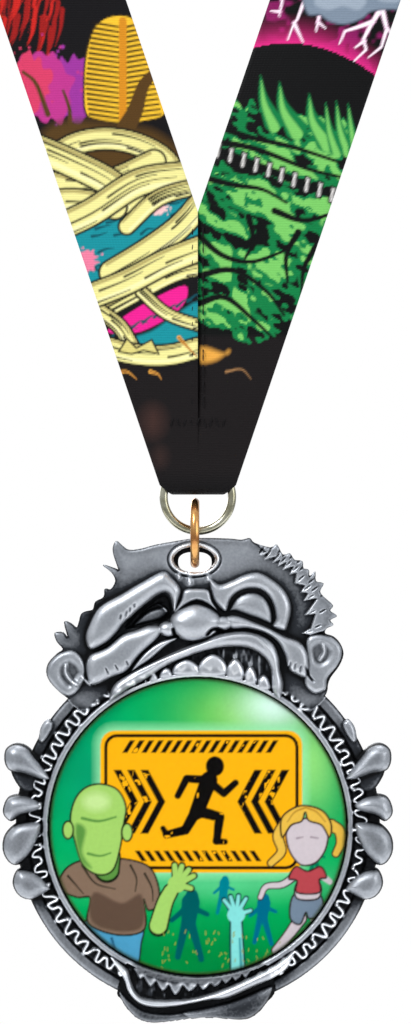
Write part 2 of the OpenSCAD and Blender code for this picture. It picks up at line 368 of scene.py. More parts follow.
def silver_look():
    """Cast metal, blackened in its hollows and rubbed bright on its heights; the tone also holds painted
    shade in the hollows and painted highlights on the heights.
    """
    look = Look("antique_silver", Metallic=0.88)
    tone = look.add("ShaderNodeAttribute", attribute_name="tone").outputs["Fac"]
    cloud = look.span(look.noise(0.004, 4), -0.06, 0.06)
    grain = look.span(look.noise(0.0005, 2), -0.06, 0.06)
    tone = look.sum(look.sum(tone, cloud), grain, clamp=True)
    stops = [(0.0, rgb(12, 13, 15)), (0.22, rgb(48, 51, 56)), (0.5, rgb(156, 160, 166)),
             (0.78, rgb(212, 215, 220)),
             (1.0, rgb(246, 248, 251))]
    look.link("Base Color", look.ramp(tone, stops))
    look.link("Roughness", look.span(tone, 0.56, 0.3))
    look.bump(look.noise(0.00045, 3), 0.00004, 0.6)
    return look.mat


def wire_look(name, bright, deep, roughness):
    """Drawn and polished wire with fine marks and a deeper tint in patches."""
    look = Look(name, Metallic=1.0)
    patches = look.noise(0.0028, 3)
    look.link("Base Color", look.ramp(patches, [(0.35, deep), (0.7, bright)]))
    look.link("Roughness", look.span(look.noise(0.0012, 4), roughness - 0.06, roughness + 0.1))
    look.bump(look.noise(0.0003, 2), 0.00001, 0.5)
    return look.mat


def print_look(name, roughness=0.4, weave=False):
    """A surface printed with the colours kept on its points."""
    look = Look(name)
    ink = look.add("ShaderNodeAttribute", attribute_name="print").outputs["Color"]
    if not weave:
        fleck = look.span(look.noise(0.0006, 2), 0.93, 1.05)
        look.link("Base Color", look.mix(1.0, ink, fleck, "MULTIPLY"))
        look.link("Roughness", look.span(look.noise(0.003, 3), roughness - 0.05, roughness + 0.08))
        look.bsdf.inputs["Specular IOR Level"].default_value = 0.0
        return look.mat
    along = look.add("ShaderNodeAttribute", attribute_name="along").outputs["Fac"]
    across = look.add("ShaderNodeAttribute", attribute_name="across").outputs["Fac"]
    rib = look.sum(look.sum(along, 2 * math.pi / 0.42, "MULTIPLY"), 0.0, "SINE")
    thread = look.sum(look.sum(across, 2 * math.pi / 0.5, "MULTIPLY"), 0.0, "SINE")
    weave_height = look.sum(look.sum(rib, 0.6, "MULTIPLY"), look.sum(thread, 0.4, "MULTIPLY"))
    # painted light: the colour is lighter on each rib's crest and darker between the ribs, in step with the
    # bump
    shade = look.span(look.sum(look.sum(rib, 0.5, "MULTIPLY"), 0.5), 0.93, 1.04)
    cloth = look.mix(1.0, ink, shade, "MULTIPLY")
    look.link("Base Color", cloth)
    look.link("Roughness", look.span(look.noise(0.002, 3), 0.5, 0.62))
    look.bsdf.inputs["Specular IOR Level"].default_value = 0.12
    look.bump(weave_height, 0.00003, 0.5)
    return look.mat


def thread_look():
    look = Look("thread", Specular_IOR_Level=0.15)
    look.link("Base Color", look.ramp(look.noise(0.0004, 2), [(0.3, rgb(8, 6, 8)), (0.7, rgb(20, 18, 20))]))
    look.link("Roughness", look.span(look.noise(0.0005, 2), 0.55, 0.75))
    look.bump(look.noise(0.00015, 2), 0.00003, 0.6)
    return look.mat


def glue_look():
    look = Look("adhesive_film", IOR=1.45)
    look.link("Base Color", look.ramp(look.noise(0.002, 3),
                                      [(0.3, rgb(205, 200, 175)), (0.7, rgb(228, 224, 205))]))
    look.link("Roughness", look.span(look.noise(0.001, 2), 0.25, 0.45))
    return look.mat


def dome_look():
    """Clear poured resin: what lies under it shows, and its surface shines."""
    look = Look("clear_dome")
    tree = look.tree
    facing = look.add("ShaderNodeLayerWeight", {"Blend": 0.5}).outputs["Facing"]
    edge = look.sum(facing, 4.0, "POWER")
    gloss_share = look.span(edge, 0.001, 0.6)
    clear = look.add("ShaderNodeBsdfTransparent", {"Color": (0.985, 1.0, 0.99, 1)})
    shine = look.add("ShaderNodeBsdfGlossy", {"Roughness": 0.12})
    marks = look.add("ShaderNodeBump", {"Height": look.noise(0.006, 2), "Distance": 0.00004, "Strength": 0.4})
    tree.links.new(marks.outputs[0], shine.inputs["Normal"])
    both = look.add("ShaderNodeMixShader", {0: gloss_share})
    tree.links.new(clear.outputs[0], both.inputs[1])
    tree.links.new(shine.outputs[0], both.inputs[2])
    output = next(n for n in tree.nodes if n.type == "OUTPUT_MATERIAL")
    tree.links.new(both.outputs[0], output.inputs["Surface"])
    tree.nodes.remove(look.bsdf)
    return look.mat


# ---------------------------------------------------------------- casting
PLATE = 1.5              # height of the casting's plain face
BACK = -1.5
RECESS_R = 25.4
RECESS_FLOOR = 0.3
SEAT_FLOOR = -0.8
BEZEL_R = 26.5           # outer edge of the smooth bezel about the insert
MOUTH_R = 26.0           # outer edge of the bezel where teeth stand on it
GUM_R = 28.85            # outer edge of the meander band
FRAME_R = 30.9
GRID = 0.15

HEAD = [
    (-20.4, 20.2), (-21.9, 21.6), (-23.5, 22.9), (-25.1, 24.6), (-25.7, 26.2), (-25.3, 27.8), (-23.9, 29.3),
    (-22.9, 30.1), (-23.9, 31.3), (-24.3, 32.8), (-22.9, 32.9), (-22.1, 32.1), (-22.7, 34.7), (-21.5, 34.4),
    (-20.6, 33.7), (-20.2, 34.6), (-19.8, 36.0), (-18.9, 36.5), (-17.8, 36.8), (-17.4, 38.1), (-16.0, 38.9),
    (-15.8, 40.3), (-14.8, 40.2), (-14.0, 41.6), (-14.6, 43.0), (-16.2, 44.4), (-13.9, 43.7), (-13.5, 43.6),
    (-14.3, 46.0), (-14.4, 47.4), (-13.8, 48.4), (-12.8, 47.6), (-11.7, 46.9), (-9.6, 47.1), (-7.0, 47.8),
    (-1.8, 48.7), (0.6, 48.9), (5.3, 48.8), (7.4, 48.6), (8.8, 48.9), (9.6, 48.1), (12.3, 47.3), (13.4, 47.8),
    (14.4, 46.1), (15.6, 46.3), (16.4, 45.2), (17.7, 45.0), (17.9, 43.8), (18.8, 43.5), (18.9, 42.4),
    (19.9, 43.2), (20.0, 41.6), (21.3, 41.2), (20.7, 39.9), (21.4, 38.9), (22.9, 37.5), (22.4, 36.6),
    (23.6, 35.7), (22.4, 35.0), (23.0, 34.2), (21.8, 33.6), (21.6, 32.7), (23.0, 32.2), (24.1, 31.1),
    (24.7, 29.3), (24.0, 27.3), (22.6, 25.4), (22.1, 24.2), (21.8, 22.6), (20.2, 20.6), (15.0, 18.0),
    (0.0, 16.0),
    (-15.0, 18.0)
]
JAW = [
    (-13.5, -27.6), (-12.9, -29.4), (-11.7, -31.2), (-10.1, -32.6), (-8.3, -33.2), (-6.1, -33.2),
    (-1.5, -32.6),
    (2.3, -32.4), (7.0, -32.7), (8.8, -32.5), (10.4, -31.4), (11.5, -30.0), (13.0, -27.4), (9.0, -22.0),
    (-9.0, -22.0)
]
# Finger outlines of the left side: four that grip the frame and a sliver of a fifth
FINGERS = [
    [(-32.8, 11.4), (-32.5, 13.2), (-30.9, 14.1), (-28.9, 13.5), (-27.0, 11.4), (-25.2, 9.0), (-25.0, 7.9),
     (-26.8, 7.9), (-29.4, 8.8), (-31.2, 9.2), (-32.3, 9.9)],
    [(-33.0, 3.2), (-32.0, 5.1), (-29.4, 5.5), (-27.4, 4.8), (-26.3, 3.7), (-27.2, 2.6), (-29.9, 1.8),
     (-31.6, 0.9), (-32.8, 1.8)],
    [(-33.1, -2.8), (-32.5, -1.0), (-30.7, 0.6), (-28.1, 1.1), (-26.4, 0.7), (-26.5, -1.2), (-28.1, -4.4),
     (-30.2, -6.4), (-31.8, -6.2), (-32.9, -4.6)],
    [(-31.4, -9.6), (-30.7, -7.4), (-28.9, -7.1), (-26.5, -8.2), (-24.8, -10.3), (-25.6, -11.2),
     (-28.1, -12.4),
     (-30.3, -11.7)],
]
LITTLE = [(-26.9, 14.6), (-26.6, 16.8), (-25.6, 18.1), (-24.6, 17.8), (-24.6, 16.6), (-26.0, 14.4)]
WEB = [(-31.6, 9.6), (-30.6, 7.2), (-29.2, 5.8), (-27.4, 6.2), (-27.0, 8.4), (-29.2, 9.6)]

BROW_LEFT = [
    (-2.8, 40.2), (-4.2, 42.2), (-6.0, 43.3), (-9.7, 41.4), (-12.9, 39.5), (-16.7, 37.2), (-18.6, 33.8),
    (-19.0, 31.7), (-18.1, 30.0), (-15.4, 31.1), (-13.6, 32.9), (-12.5, 34.4), (-11.0, 35.8), (-9.6, 37.1),
    (-7.0, 39.1), (-5.4, 39.6), (-4.6, 38.6), (-4.0, 36.2), (-3.3, 38.0)
]
EYE_LEFT = [
    (-12.6, 33.5), (-10.3, 33.6), (-7.7, 34.2), (-6.0, 34.4), (-4.6, 35.4), (-4.2, 37.2), (-4.8, 39.0),
    (-5.8, 39.6), (-7.2, 39.0), (-9.6, 37.2), (-11.2, 35.8)
]
CHEEK_LEFT = [
    (-5.9, 33.8), (-8.2, 34.1), (-10.4, 33.4), (-12.8, 32.6), (-15.5, 30.5), (-18.4, 29.0), (-19.0, 26.3),
    (-17.8, 24.0), (-14.4, 25.3), (-12.0, 26.3), (-9.8, 29.0), (-6.7, 32.0)
]
FOLD_LEFT = [(-11.4, 26.2), (-9.4, 29.2), (-6.4, 31.4), (-3.2, 32.1), (-5.6, 30.4), (-8.4, 28.0)]
LIP_UPPER = [
    (-14.9, 21.3), (-14.2, 24.2), (-11.0, 26.4), (-7.5, 28.1), (-3.5, 30.0), (0.6, 31.7), (2.7, 32.6),
    (5.8, 33.2), (8.4, 33.2), (11.0, 32.4), (12.9, 31.0), (13.8, 28.8), (14.0, 26.6), (14.5, 24.2),
    (14.0, 21.6),
    (12.6, 23.0), (12.3, 26.6), (11.1, 28.8), (8.4, 30.3), (4.5, 30.4), (0.0, 29.4), (-5.0, 27.4),
    (-8.4, 25.1),
    (-11.2, 23.6)
]
MOUTH_UPPER = [
    (-12.4, 22.8), (-8.4, 25.3), (-5.0, 27.6), (0.0, 29.6), (4.5, 30.6), (8.4, 30.5), (11.2, 29.0),
    (12.4, 26.6), (12.8, 22.5), (7.0, 24.6), (0.0, 25.4), (-7.0, 24.4)
]
# Upper teeth: left edge, right edge and top
TEETH_UPPER = [
    (-9.3, -8.4, 25.7), (-8.4, -6.6, 26.4), (-6.6, -4.2, 27.1), (-4.2, 0.2, 28.5), (0.2, 4.8, 29.4),
    (4.8, 7.8, 28.6), (7.8, 10.0, 27.3), (10.0, 12.3, 25.8)
]
LIP_LOWER = [
    (-14.8, -21.9), (-14.0, -23.6), (-12.6, -25.8), (-11.7, -28.2), (-9.8, -30.0), (-7.2, -30.6),
    (-3.8, -30.4),
    (-0.4, -29.8), (2.3, -29.3), (5.1, -29.0), (9.7, -27.0), (12.9, -25.6), (15.4, -23.7), (16.1, -21.2),
    (14.6, -22.0), (12.9, -23.2), (9.7, -24.9), (5.1, -27.0), (0.6, -28.6), (-3.8, -29.2), (-8.6, -29.0),
    (-10.4, -28.0), (-11.3, -26.0), (-12.0, -24.0)
]
MOUTH_LOWER = [
    (-12.0, -23.0), (-11.4, -26.0), (-10.5, -28.1), (-8.7, -29.1), (-3.8, -29.2), (0.6, -28.6), (5.1, -27.0),
    (9.7, -24.9), (11.5, -23.4), (6.0, -24.8), (0.0, -25.4), (-7.0, -24.4)
]
# Lower teeth: middle, half width and tip
TEETH_LOWER = [
    (-9.7, 0.75, -25.9), (-8.0, 0.95, -27.2), (-5.9, 1.0, -27.9), (-3.8, 1.0, -28.6), (-1.4, 1.1, -28.0),
    (0.9, 0.95, -27.7), (2.9, 0.85, -27.2), (4.7, 0.75, -26.7), (6.4, 0.7, -26.2), (8.0, 0.6, -25.7)
]
NOSE = [
    (-4.8, 34.7), (-4.2, 36.1), (-2.5, 37.3), (-0.3, 37.9), (1.9, 37.3), (3.6, 36.1), (4.2, 34.7),
    (3.2, 32.9),
    (1.6, 31.8), (-0.8, 31.3), (-3.0, 31.8), (-4.3, 33.1)
]
BRIDGE = [(-2.3, 40.2), (-0.2, 40.5), (1.9, 40.2), (2.6, 38.4), (3.4, 36.4), (-0.2, 38.2), (-4.1, 36.0),
          (-3.0, 38.4)]
ARCH_RIGHT = [
    (1.9, 42.0), (3.7, 41.2), (5.8, 41.9), (7.8, 42.8), (9.7, 43.2), (11.3, 42.8), (13.5, 41.3), (14.9, 39.8),
    (15.7, 38.0), (15.8, 36.4), (15.4, 34.6), (14.7, 33.2), (12.7, 33.9), (13.1, 35.3), (12.8, 37.2),
    (12.0, 38.9), (10.7, 40.0), (8.9, 40.3), (7.1, 39.8), (5.7, 38.6), (4.9, 36.5), (3.7, 36.9), (2.5, 38.6)
]
EYE_RIGHT = [
    (5.0, 36.4), (5.9, 38.5), (7.2, 39.6), (8.9, 40.1), (10.6, 39.8), (11.9, 38.7), (12.7, 37.1),
    (12.9, 35.3),
    (12.4, 34.2), (10.3, 34.9), (8.4, 35.5), (6.4, 36.2)
]
CHEEK_RIGHT = [
    (3.9, 35.4), (6.4, 35.9), (9.7, 34.7), (12.3, 33.6), (14.8, 32.3), (17.2, 31.4), (18.6, 29.6),
    (18.9, 27.0),
    (18.3, 25.3), (16.8, 25.7), (15.3, 26.8), (14.6, 29.2), (13.3, 31.4), (11.2, 32.8), (8.4, 33.5),
    (5.6, 33.5)
]
HAIR = [
    (9.3, 48.4), (11.4, 46.6), (10.1, 45.7), (11.7, 46.2), (11.1, 45.1), (13.0, 45.6), (12.5, 44.6),
    (13.8, 45.1),
    (13.4, 44.0), (14.9, 44.7), (14.2, 43.4), (16.1, 44.0), (15.4, 42.7), (16.6, 42.9), (16.3, 41.2),
    (18.0, 40.8),
    (17.3, 39.7), (18.5, 39.5), (17.8, 38.2), (20.0, 38.6), (18.0, 35.8), (19.8, 36.0), (19.0, 33.6),
    (17.6, 32.8),
    (19.0, 32.4), (21.8, 33.2), (26.0, 36.0), (22.0, 43.0), (14.0, 50.0), (9.5, 50.0)
]


def mirrored(points):
    return [(-x, z) for x, z in points]


def model_frame(relief, radius):
    """Round frame: smooth bezel, meander band and plain outer rim."""
    bezel = 1.25 + 0.95 * round_off((radius - RECESS_R + 0.1) / 0.45) * round_off((BEZEL_R - radius) / 0.6)
    band = 1.35 * round_off((radius - BEZEL_R + 0.4) / 0.5)
    rim_mid = (GUM_R + FRAME_R) / 2
    rim_half = (FRAME_R - GUM_R) / 2
    rim = 0.95 + 0.55 * round_off((1 - np.abs(radius - rim_mid) / rim_half) * 1.2)
    frame_height = np.where(radius < BEZEL_R, bezel, np.where(radius < GUM_R, band, rim))
    relief.h = np.where(radius < FRAME_R + 0.5, frame_height, PLATE)
    in_band = (radius > BEZEL_R) & (radius < GUM_R)
    relief.tint += np.where(radius < BEZEL_R, -0.14,
                            np.where(in_band, -0.22, np.where(radius < FRAME_R, -0.17, 0)))


def model_meander(relief):
    """The crooked ridge that makes the band look like gum, all round the frame."""
    draw = np.random.default_rng(11)
    count = 150
    step = 2 * math.pi / count
    middle = step * (np.arange(count) + draw.uniform(-0.16, 0.16, count))
    far = np.arange(count) % 2 == 1
    reach = np.where(far, GUM_R - 0.25 - draw.uniform(0, 0.5, count),
                     BEZEL_R + 0.25 + draw.uniform(0, 0.5, count))
    half = step * draw.uniform(0.2, 0.42, count)
    hook = draw.uniform(-0.25, 0.25, count)
    angle = np.stack([middle - half, middle + half], 1).ravel()
    radius = np.stack([reach - hook, reach + hook], 1).ravel()
    line = np.stack([radius * np.cos(angle), radius * np.sin(angle)], 1)
    chunk = 12
    for start in range(0, 2 * count, chunk):
        part = line[np.arange(start, start + chunk + 1) % len(line)]
        relief.ridge(part, 0.29, 0.8, polish_and_highlight=0.56)
    ring = np.linspace(0, 2 * math.pi, 120, endpoint=False)
    for edge_radius in (BEZEL_R, GUM_R):
        loop = np.stack([edge_radius * np.cos(ring), edge_radius * np.sin(ring)], 1)
        relief.ridge(loop, 0.14, -0.4, closed=True, curved=False)


def model_head(relief, head_depth, jaw_depth):
    """The snarling head over the frame and its chin below it."""
    over = np.flatnonzero(head_depth > -0.2)
    x, z = relief.x[over], relief.z[over]
    lift = smooth_step((np.hypot(x, z) - BEZEL_R) / 1.2)
    crown = PLATE + 0.55 * np.exp(-(((x - 3) / 15) ** 2 + ((z - 43) / 7) ** 2))
    relief.h[over] = relief.h[over] * (1 - lift) + crown * lift
    relief.tint[over] *= 1 - lift
    chin = np.flatnonzero(jaw_depth > -0.2)
    lift = smooth_step((np.hypot(relief.x[chin], relief.z[chin]) - BEZEL_R) / 1.0)
    relief.h[chin] = relief.h[chin] * (1 - lift) + (PLATE - 0.3) * lift
    relief.tint[chin] *= 1 - lift
    relief.form([(-13.2, -28.0), (-11.4, -29.6), (-9.0, -31.2), (-5.0, -31.7), (-0.6, -31.2), (-1.5, -32.5),
                 (-6.1, -33.1), (-8.3, -33.1), (-10.1, -32.5), (-11.7, -31.1), (-12.9, -29.3)], 0.7, 0.7,
                 foot=1.2)
    relief.form([(-2.6, -31.4), (1.0, -30.7), (5.0, -29.7), (8.6, -28.4), (11.4, -27.2), (12.7, -27.2),
                 (11.6, -29.8), (10.2, -31.4), (8.6, -32.4), (6.0, -32.7), (2.3, -32.4), (-1.4, -32.5)],
                1.5, 1.9, foot=1.2)


def model_mouths(relief):
    """Lips, gums and teeth over and under the insert."""
    radius = np.hypot(relief.x, relief.z)
    for outline in (MOUTH_UPPER, MOUTH_LOWER):
        line = curve(outline)
        at = relief.near(line, 0)
        inside = (relief.depth(line, at) > 0) & (radius[at] > MOUTH_R)
        streak = 0.55 * (noise(relief.x[at] * 3.0, relief.z[at], 1.3, 5) - 0.5)
        relief.h[at] = np.where(inside, 1.25 + streak, relief.h[at])
    for left, right, top in TEETH_UPPER:
        middle = (left + right) / 2
        foot_z = math.sqrt(MOUTH_R**2 - middle**2) - 0.4
        shoulder = foot_z + 0.62 * (top - foot_z)
        tooth = [(left + 0.06, foot_z), (left + 0.1, shoulder), (middle, top), (right - 0.1, shoulder),
                 (right - 0.06, foot_z)]
        relief.form(tooth, 1.3, 0.95, foot=1.05)
    for middle, narrow, tip in TEETH_LOWER:
        half = 1.6 * narrow
        foot_z = -math.sqrt(MOUTH_R**2 - middle**2) + 0.4
        waist = foot_z + 0.55 * (tip - foot_z)
        tooth = [(middle - half, foot_z), (middle - half * 0.7, waist), (middle, tip),
                 (middle + half * 0.8, waist), (middle + half, foot_z)]
        relief.form(tooth, 1.25, 0.7, foot=1.05)
    relief.form(LIP_UPPER, 1.75, 1.35, foot=1.35)
    relief.form(LIP_LOWER, 1.6, 1.0, foot=1.35)
    relief.ridge([(-12.4, 25.3), (-6.0, 28.3), (1.0, 31.0), (6.0, 32.4), (10.0, 32.0), (12.8, 29.0)], 0.2,
                 0.25, fade=0.1)


def model_features(relief):
    """Brows, eyes, cheeks, nose, ears and hair."""
    relief.form(HAIR, 0.75, 0.35, foot=1.55, curved=False)
    for x, z in HAIR[1:26]:
        away = unit([x - 4.0, z - 32.0])
        start = np.array([x, z]) + 0.5 * away
        relief.ridge([start, start + 1.5 * away + 0.5 * away[::-1]], 0.15, -0.35, fade=0.3, curved=False)
    relief.form(BROW_LEFT, 1.75, 1.9)
    relief.hollow(EYE_LEFT, 1.1, 0.7)
    relief.form([(-11.0, 34.0), (-8.6, 36.4), (-5.8, 37.2), (-5.0, 36.2), (-6.6, 34.9)], 0.9, 1.0, foot=0.6)
    relief.ridge([(-10.4, 35.6), (-7.8, 37.6), (-5.2, 38.2)], 0.18, -0.3, fade=0.2)
    relief.ridge([(-7.5, 38.0), (-5.9, 37.2), (-4.8, 36.0)], 0.2, 0.45, fade=0.2)
    relief.form(CHEEK_LEFT, 1.65, 1.8)
    relief.form(FOLD_LEFT, 1.0, 0.7)
    relief.form(ARCH_RIGHT, 1.6, 1.35)
    relief.hollow(EYE_RIGHT, 0.6, 0.35)
    relief.form(EYE_RIGHT, 1.5, 2.6, foot=1.1)
    relief.form(CHEEK_RIGHT, 1.55, 1.35)
    relief.form(BRIDGE, 1.2, 0.9)
    for x, z, half_w, half_h in ((-5.0, 33.5, 1.75, 1.35), (4.1, 34.5, 2.0, 1.35)):
        turn = np.linspace(0, 2 * math.pi, 10, endpoint=False)
        wing = np.stack([x + half_w * np.cos(turn), z + half_h * np.sin(turn)], 1)
        relief.form(wing, 1.75, 1.3)
    relief.form(NOSE, 2.75, 3.1)
    relief.ridge([(-4.3, 33.9), (-3.9, 32.6), (-3.0, 32.0)], 0.24, -1.0, fade=0.2)
    relief.ridge([(1.3, 32.2), (2.4, 33.4), (3.6, 33.4), (4.6, 32.9)], 0.26, -1.1, fade=0.2)
    model_ears(relief)
    ticks = [
        [(-12.9, 36.3), (-13.2, 34.9)], [(-11.9, 36.9), (-12.2, 35.4)], [(-11.3, 37.4), (-11.6, 36.2)],
        [(-10.6, 38.0), (-10.8, 37.0)], [(-15.7, 27.2), (-15.0, 25.7)], [(-14.1, 27.7), (-13.4, 26.4)],
        [(-12.2, 28.3), (-11.6, 27.2)], [(16.6, 28.0), (16.2, 26.4)], [(15.7, 28.2), (15.3, 26.6)],
        [(17.5, 27.6), (17.2, 26.0)]
    ]
    for tick in ticks:
        relief.ridge(tick, 0.16, -0.4, fade=0.3, curved=False)


def model_ears(relief):
    """Cupped ears: a bright rim about a dark bowl."""
    relief.form([(-25.2, 24.8), (-25.6, 26.4), (-25.0, 28.0), (-23.4, 29.4), (-21.4, 29.9), (-19.9, 29.0),
                 (-18.9, 26.8), (-19.6, 24.0), (-21.4, 22.2), (-23.3, 22.6)], 0.85, 0.9, foot=1.4)
    relief.hollow([(-24.0, 25.4), (-23.6, 27.6), (-21.8, 28.7), (-20.2, 27.9), (-19.4, 26.2), (-20.2, 24.6),
                   (-21.6, 23.2), (-23.0, 23.8)], 0.42, 1.2)
    relief.ridge([(-22.2, 27.9), (-22.4, 26.2), (-21.3, 24.6), (-19.8, 23.8)], 0.32, 0.75, fade=0.15)
    relief.ridge([(-19.7, 25.6), (-18.9, 24.7), (-17.9, 23.8)], 0.3, 0.7, fade=0.2)
    relief.form([(18.3, 31.6), (20.0, 32.7), (22.6, 32.2), (24.2, 30.7), (24.4, 29.0), (23.6, 27.2),
                 (22.0, 25.2), (21.6, 23.2), (19.6, 22.6), (18.0, 24.4), (18.4, 27.4)], 1.0, 1.0, foot=1.4)
    relief.hollow([(18.6, 30.4), (20.2, 31.8), (22.2, 31.2), (23.2, 29.6), (22.4, 27.6), (20.6, 26.8),
                   (19.0, 27.8)], 0.42, 1.2)
    relief.ridge([(20.9, 31.4), (21.4, 29.6), (20.4, 28.0)], 0.3, 0.6, fade=0.2)
    relief.ridge([(18.2, 27.4), (18.8, 25.6), (19.8, 24.4)], 0.22, -0.5, fade=0.2)


def round_outline(x, z, half_w, half_h, power=2.0):
    """An ellipse, or a fuller outline where power is above 2."""
    turn = np.linspace(0, 2 * math.pi, 48, endpoint=False)
    c, s = np.cos(turn), np.sin(turn)
    return np.stack([x + half_w * np.sign(c) * np.abs(c) ** (2 / power),
                     z + half_h * np.sign(s) * np.abs(s) ** (2 / power)], 1)


def model_hole(relief):
    """Rim, counterbore and drips of the hanging hole."""
    hole_x, hole_z = -0.6, 45.3
    relief.ridge(round_outline(hole_x, hole_z, 4.5, 3.0), 0.16, -0.3, closed=True, curved=False)
    relief.ridge(round_outline(hole_x, hole_z, 4.0, 2.55), 0.24, 0.5, closed=True, curved=False, polish_and_highlight=0.3)
    mouth = round_outline(hole_x, 45.25, 3.6, 2.25)
    at = relief.near(mouth, 0)
    sunk = relief.depth(mouth, at)
    floor = 0.3
    relief.h[at] = np.where(sunk > 0, floor + (relief.h[at] - floor) * (1 - smooth_step(sunk / 0.25)),
                            relief.h[at])
    relief.tint[at] -= 0.25 * smooth_step(sunk / 0.3)
    for x, top, low, width in ((-3.2, 43.3, 42.2, 0.34), (-1.4, 42.9, 41.2, 0.42), (1.7, 42.9, 41.9, 0.36)):
        relief.ridge([(x, top), (x, low)], width, 0.4, curved=False)
        relief.ridge([(x, low + 0.15), (x, low)], 1.35 * width, 0.35, curved=False)


def blurred(field, sigma):
    """Gaussian blur of a grid, sigma in cells."""
    rows, cols = (np.fft.fftfreq(n) for n in field.shape)
    fade = np.exp(-2 * (math.pi * sigma) ** 2 * (rows[:, None] ** 2 + cols[None, :] ** 2))
    return np.fft.ifft2(np.fft.fft2(field) * fade).real


def boundary_loops(cells):
    """Closed loops of grid vertices about the kept cells, material on the left."""
    cols = cells.shape[1]
    follow = {}
    padded = np.pad(cells, 1)

    def corner(i, j):
        return i * (cols + 1) + j

    for i, j in zip(*np.nonzero(cells)):
        if not padded[i, j + 1]:
            follow[corner(i, j)] = corner(i, j + 1)
        if not padded[i + 1, j + 2]:
            follow[corner(i, j + 1)] = corner(i + 1, j + 1)
        if not padded[i + 2, j + 1]:
            follow[corner(i + 1, j + 1)] = corner(i + 1, j)
        if not padded[i + 1, j]:
            follow[corner(i + 1, j)] = corner(i, j)
    loops = []
    while follow:
        start, step = next(iter(follow.items()))
        loop = [start]
        del follow[start]
        while step != start:
            loop.append(step)
            step = follow.pop(step)
        loops.append(loop)
    return loops


def kept_cells(depth, slack):
    """Grid cells whose corners all lie in the shape, with no two joined by a corner only."""
    good = depth > -slack
    cells = good[:-1, :-1] & good[1:, :-1] & good[:-1, 1:] & good[1:, 1:]
    for _ in range(3):
        a, b, c, d = cells[:-1, :-1], cells[:-1, 1:], cells[1:, :-1], cells[1:, 1:]
        falling = a & d & ~b & ~c
        rising = b & c & ~a & ~d
        cells[:-1, :-1][falling] = False
        cells[:-1, 1:][rising] = False
    return cells


def cut_grid(x, z, depth, pitch):
    """Grid places with the edge vertices moved on to the outline, the kept cells and their loops."""
    cells = kept_cells(depth, 0.3 * pitch)
    loops = boundary_loops(cells)
    slope_z, slope_x = np.gradient(depth, pitch)
    steep = np.maximum(slope_x**2 + slope_z**2, 0.25)
    edge = np.concatenate([np.array(loop) for loop in loops])
    x, z = x.copy().ravel(), z.copy().ravel()
    move = (depth / steep).ravel()[edge]
    x[edge] -= move * slope_x.ravel()[edge]
    z[edge] -= move * slope_z.ravel()[edge]
    inward = np.stack([slope_x.ravel(), slope_z.ravel()], 1) / np.sqrt(steep).ravel()[:, None]
    return x, z, cells, loops, inward


def grid_faces(cells):
    rows, cols = np.nonzero(cells)
    width = cells.shape[1] + 1
    first = rows * width + cols
    return np.stack([first, first + 1, first + width + 1, first + width], 1)


def build_casting():
    x, z = np.meshgrid(np.arange(-34.2, 34.3, GRID), np.arange(-34.4, 50.2, GRID))
    relief = Relief(x.ravel(), z.ravel())
    radius = np.hypot(relief.x, relief.z)
    everywhere = np.arange(len(relief.x))
    head_depth = relief.depth(curve(HEAD, steps=3), everywhere)
    jaw_depth = relief.depth(curve(JAW, steps=4), everywhere)
    outline = np.maximum(np.maximum(FRAME_R - radius, head_depth), jaw_depth)
    hands = [*FINGERS, LITTLE, WEB]
    hands += [mirrored(f) for f in hands]
    for points in hands:
        line = curve(points)
        at = relief.near(line, 2.0)
        outline[at] = np.maximum(outline[at], relief.depth(line, at))
    model_frame(relief, radius)
    model_meander(relief)
    model_head(relief, head_depth, jaw_depth)
    model_mouths(relief)
    model_features(relief)
    model_hole(relief)
    for points in hands:
        line = curve(points)
        at = relief.near(line, 0)
        relief.tint[at] *= 1 - smooth_step(relief.depth(line, at) / 0.5)
        relief.shade(points, -0.13, 0.8)
    for side in (lambda p: p, mirrored):
        relief.form(side(WEB), 0.7, 0.8, foot=1.0)
        relief.form(side(LITTLE), 0.9, 0.7, foot=1.3)
        for points in FINGERS:
            relief.form(side(points), 2.6, 2.0, foot=0.7)
    hole = round_outline(-0.5, 44.8, 2.85, 1.72, power=2.5)
    hole_depth = relief.depth(hole, everywhere)
    lip = 0.55
    edge_drop = lip * (1 - round_off(outline / lip))
    relief.h -= np.where(outline < lip, edge_drop, 0)
    depth = np.minimum(np.minimum(outline, radius - RECESS_R), -hole_depth).reshape(x.shape)
    height = relief.h.reshape(x.shape)
    relief.shade(HAIR, -0.04, 0.6)
    relief.shade(JAW, -0.34, 1.0)
    relief.shade(LIP_LOWER, 0.3, 0.6)
    relief.shade(MOUTH_UPPER, 0.2, 0.8)
    relief.shade(MOUTH_LOWER, 0.22, 0.8)
    border = np.clip(1 - head_depth / 1.6, 0, 1) * (head_depth > 0) * (relief.z > 20)
    relief.tint -= 0.18 * smooth_step(border)
    tone = patina_and_painted_light(height, depth, relief.tint.reshape(x.shape))
    gx, gz, cells, loops, inward = cut_grid(x, z, depth, GRID)
    return assemble_casting(gx, gz, height.ravel(), tone.ravel(), cells, loops, inward)


def patina_and_painted_light(height, depth, tint):
    """How bright the metal is, from 0 in the hollows to 1 on the heights: the blackened and rubbed antique
    finish, and with it painted shade in the hollows and painted highlights on the heights.
    """
    solid = (depth > -0.5).astype(float)
    flat = np.where(depth > -0.5, height, 0)
    tone = 0.5 + tint
    # darker below the blurred height around, brighter above it: patina and rubbing, partly painted shade and
    # painted highlight
    for sigma, bright, dark in ((0.28, 0.7, 0.8), (0.8, 0.16, 0.5), (2.6, 0.02, 0.52)):
        around = blurred(flat, sigma / GRID) / np.maximum(blurred(solid, sigma / GRID), 0.15)
        step = height - around
        tone = tone + np.where(step > 0, bright, dark) * step
    return np.clip(tone, 0, 1)


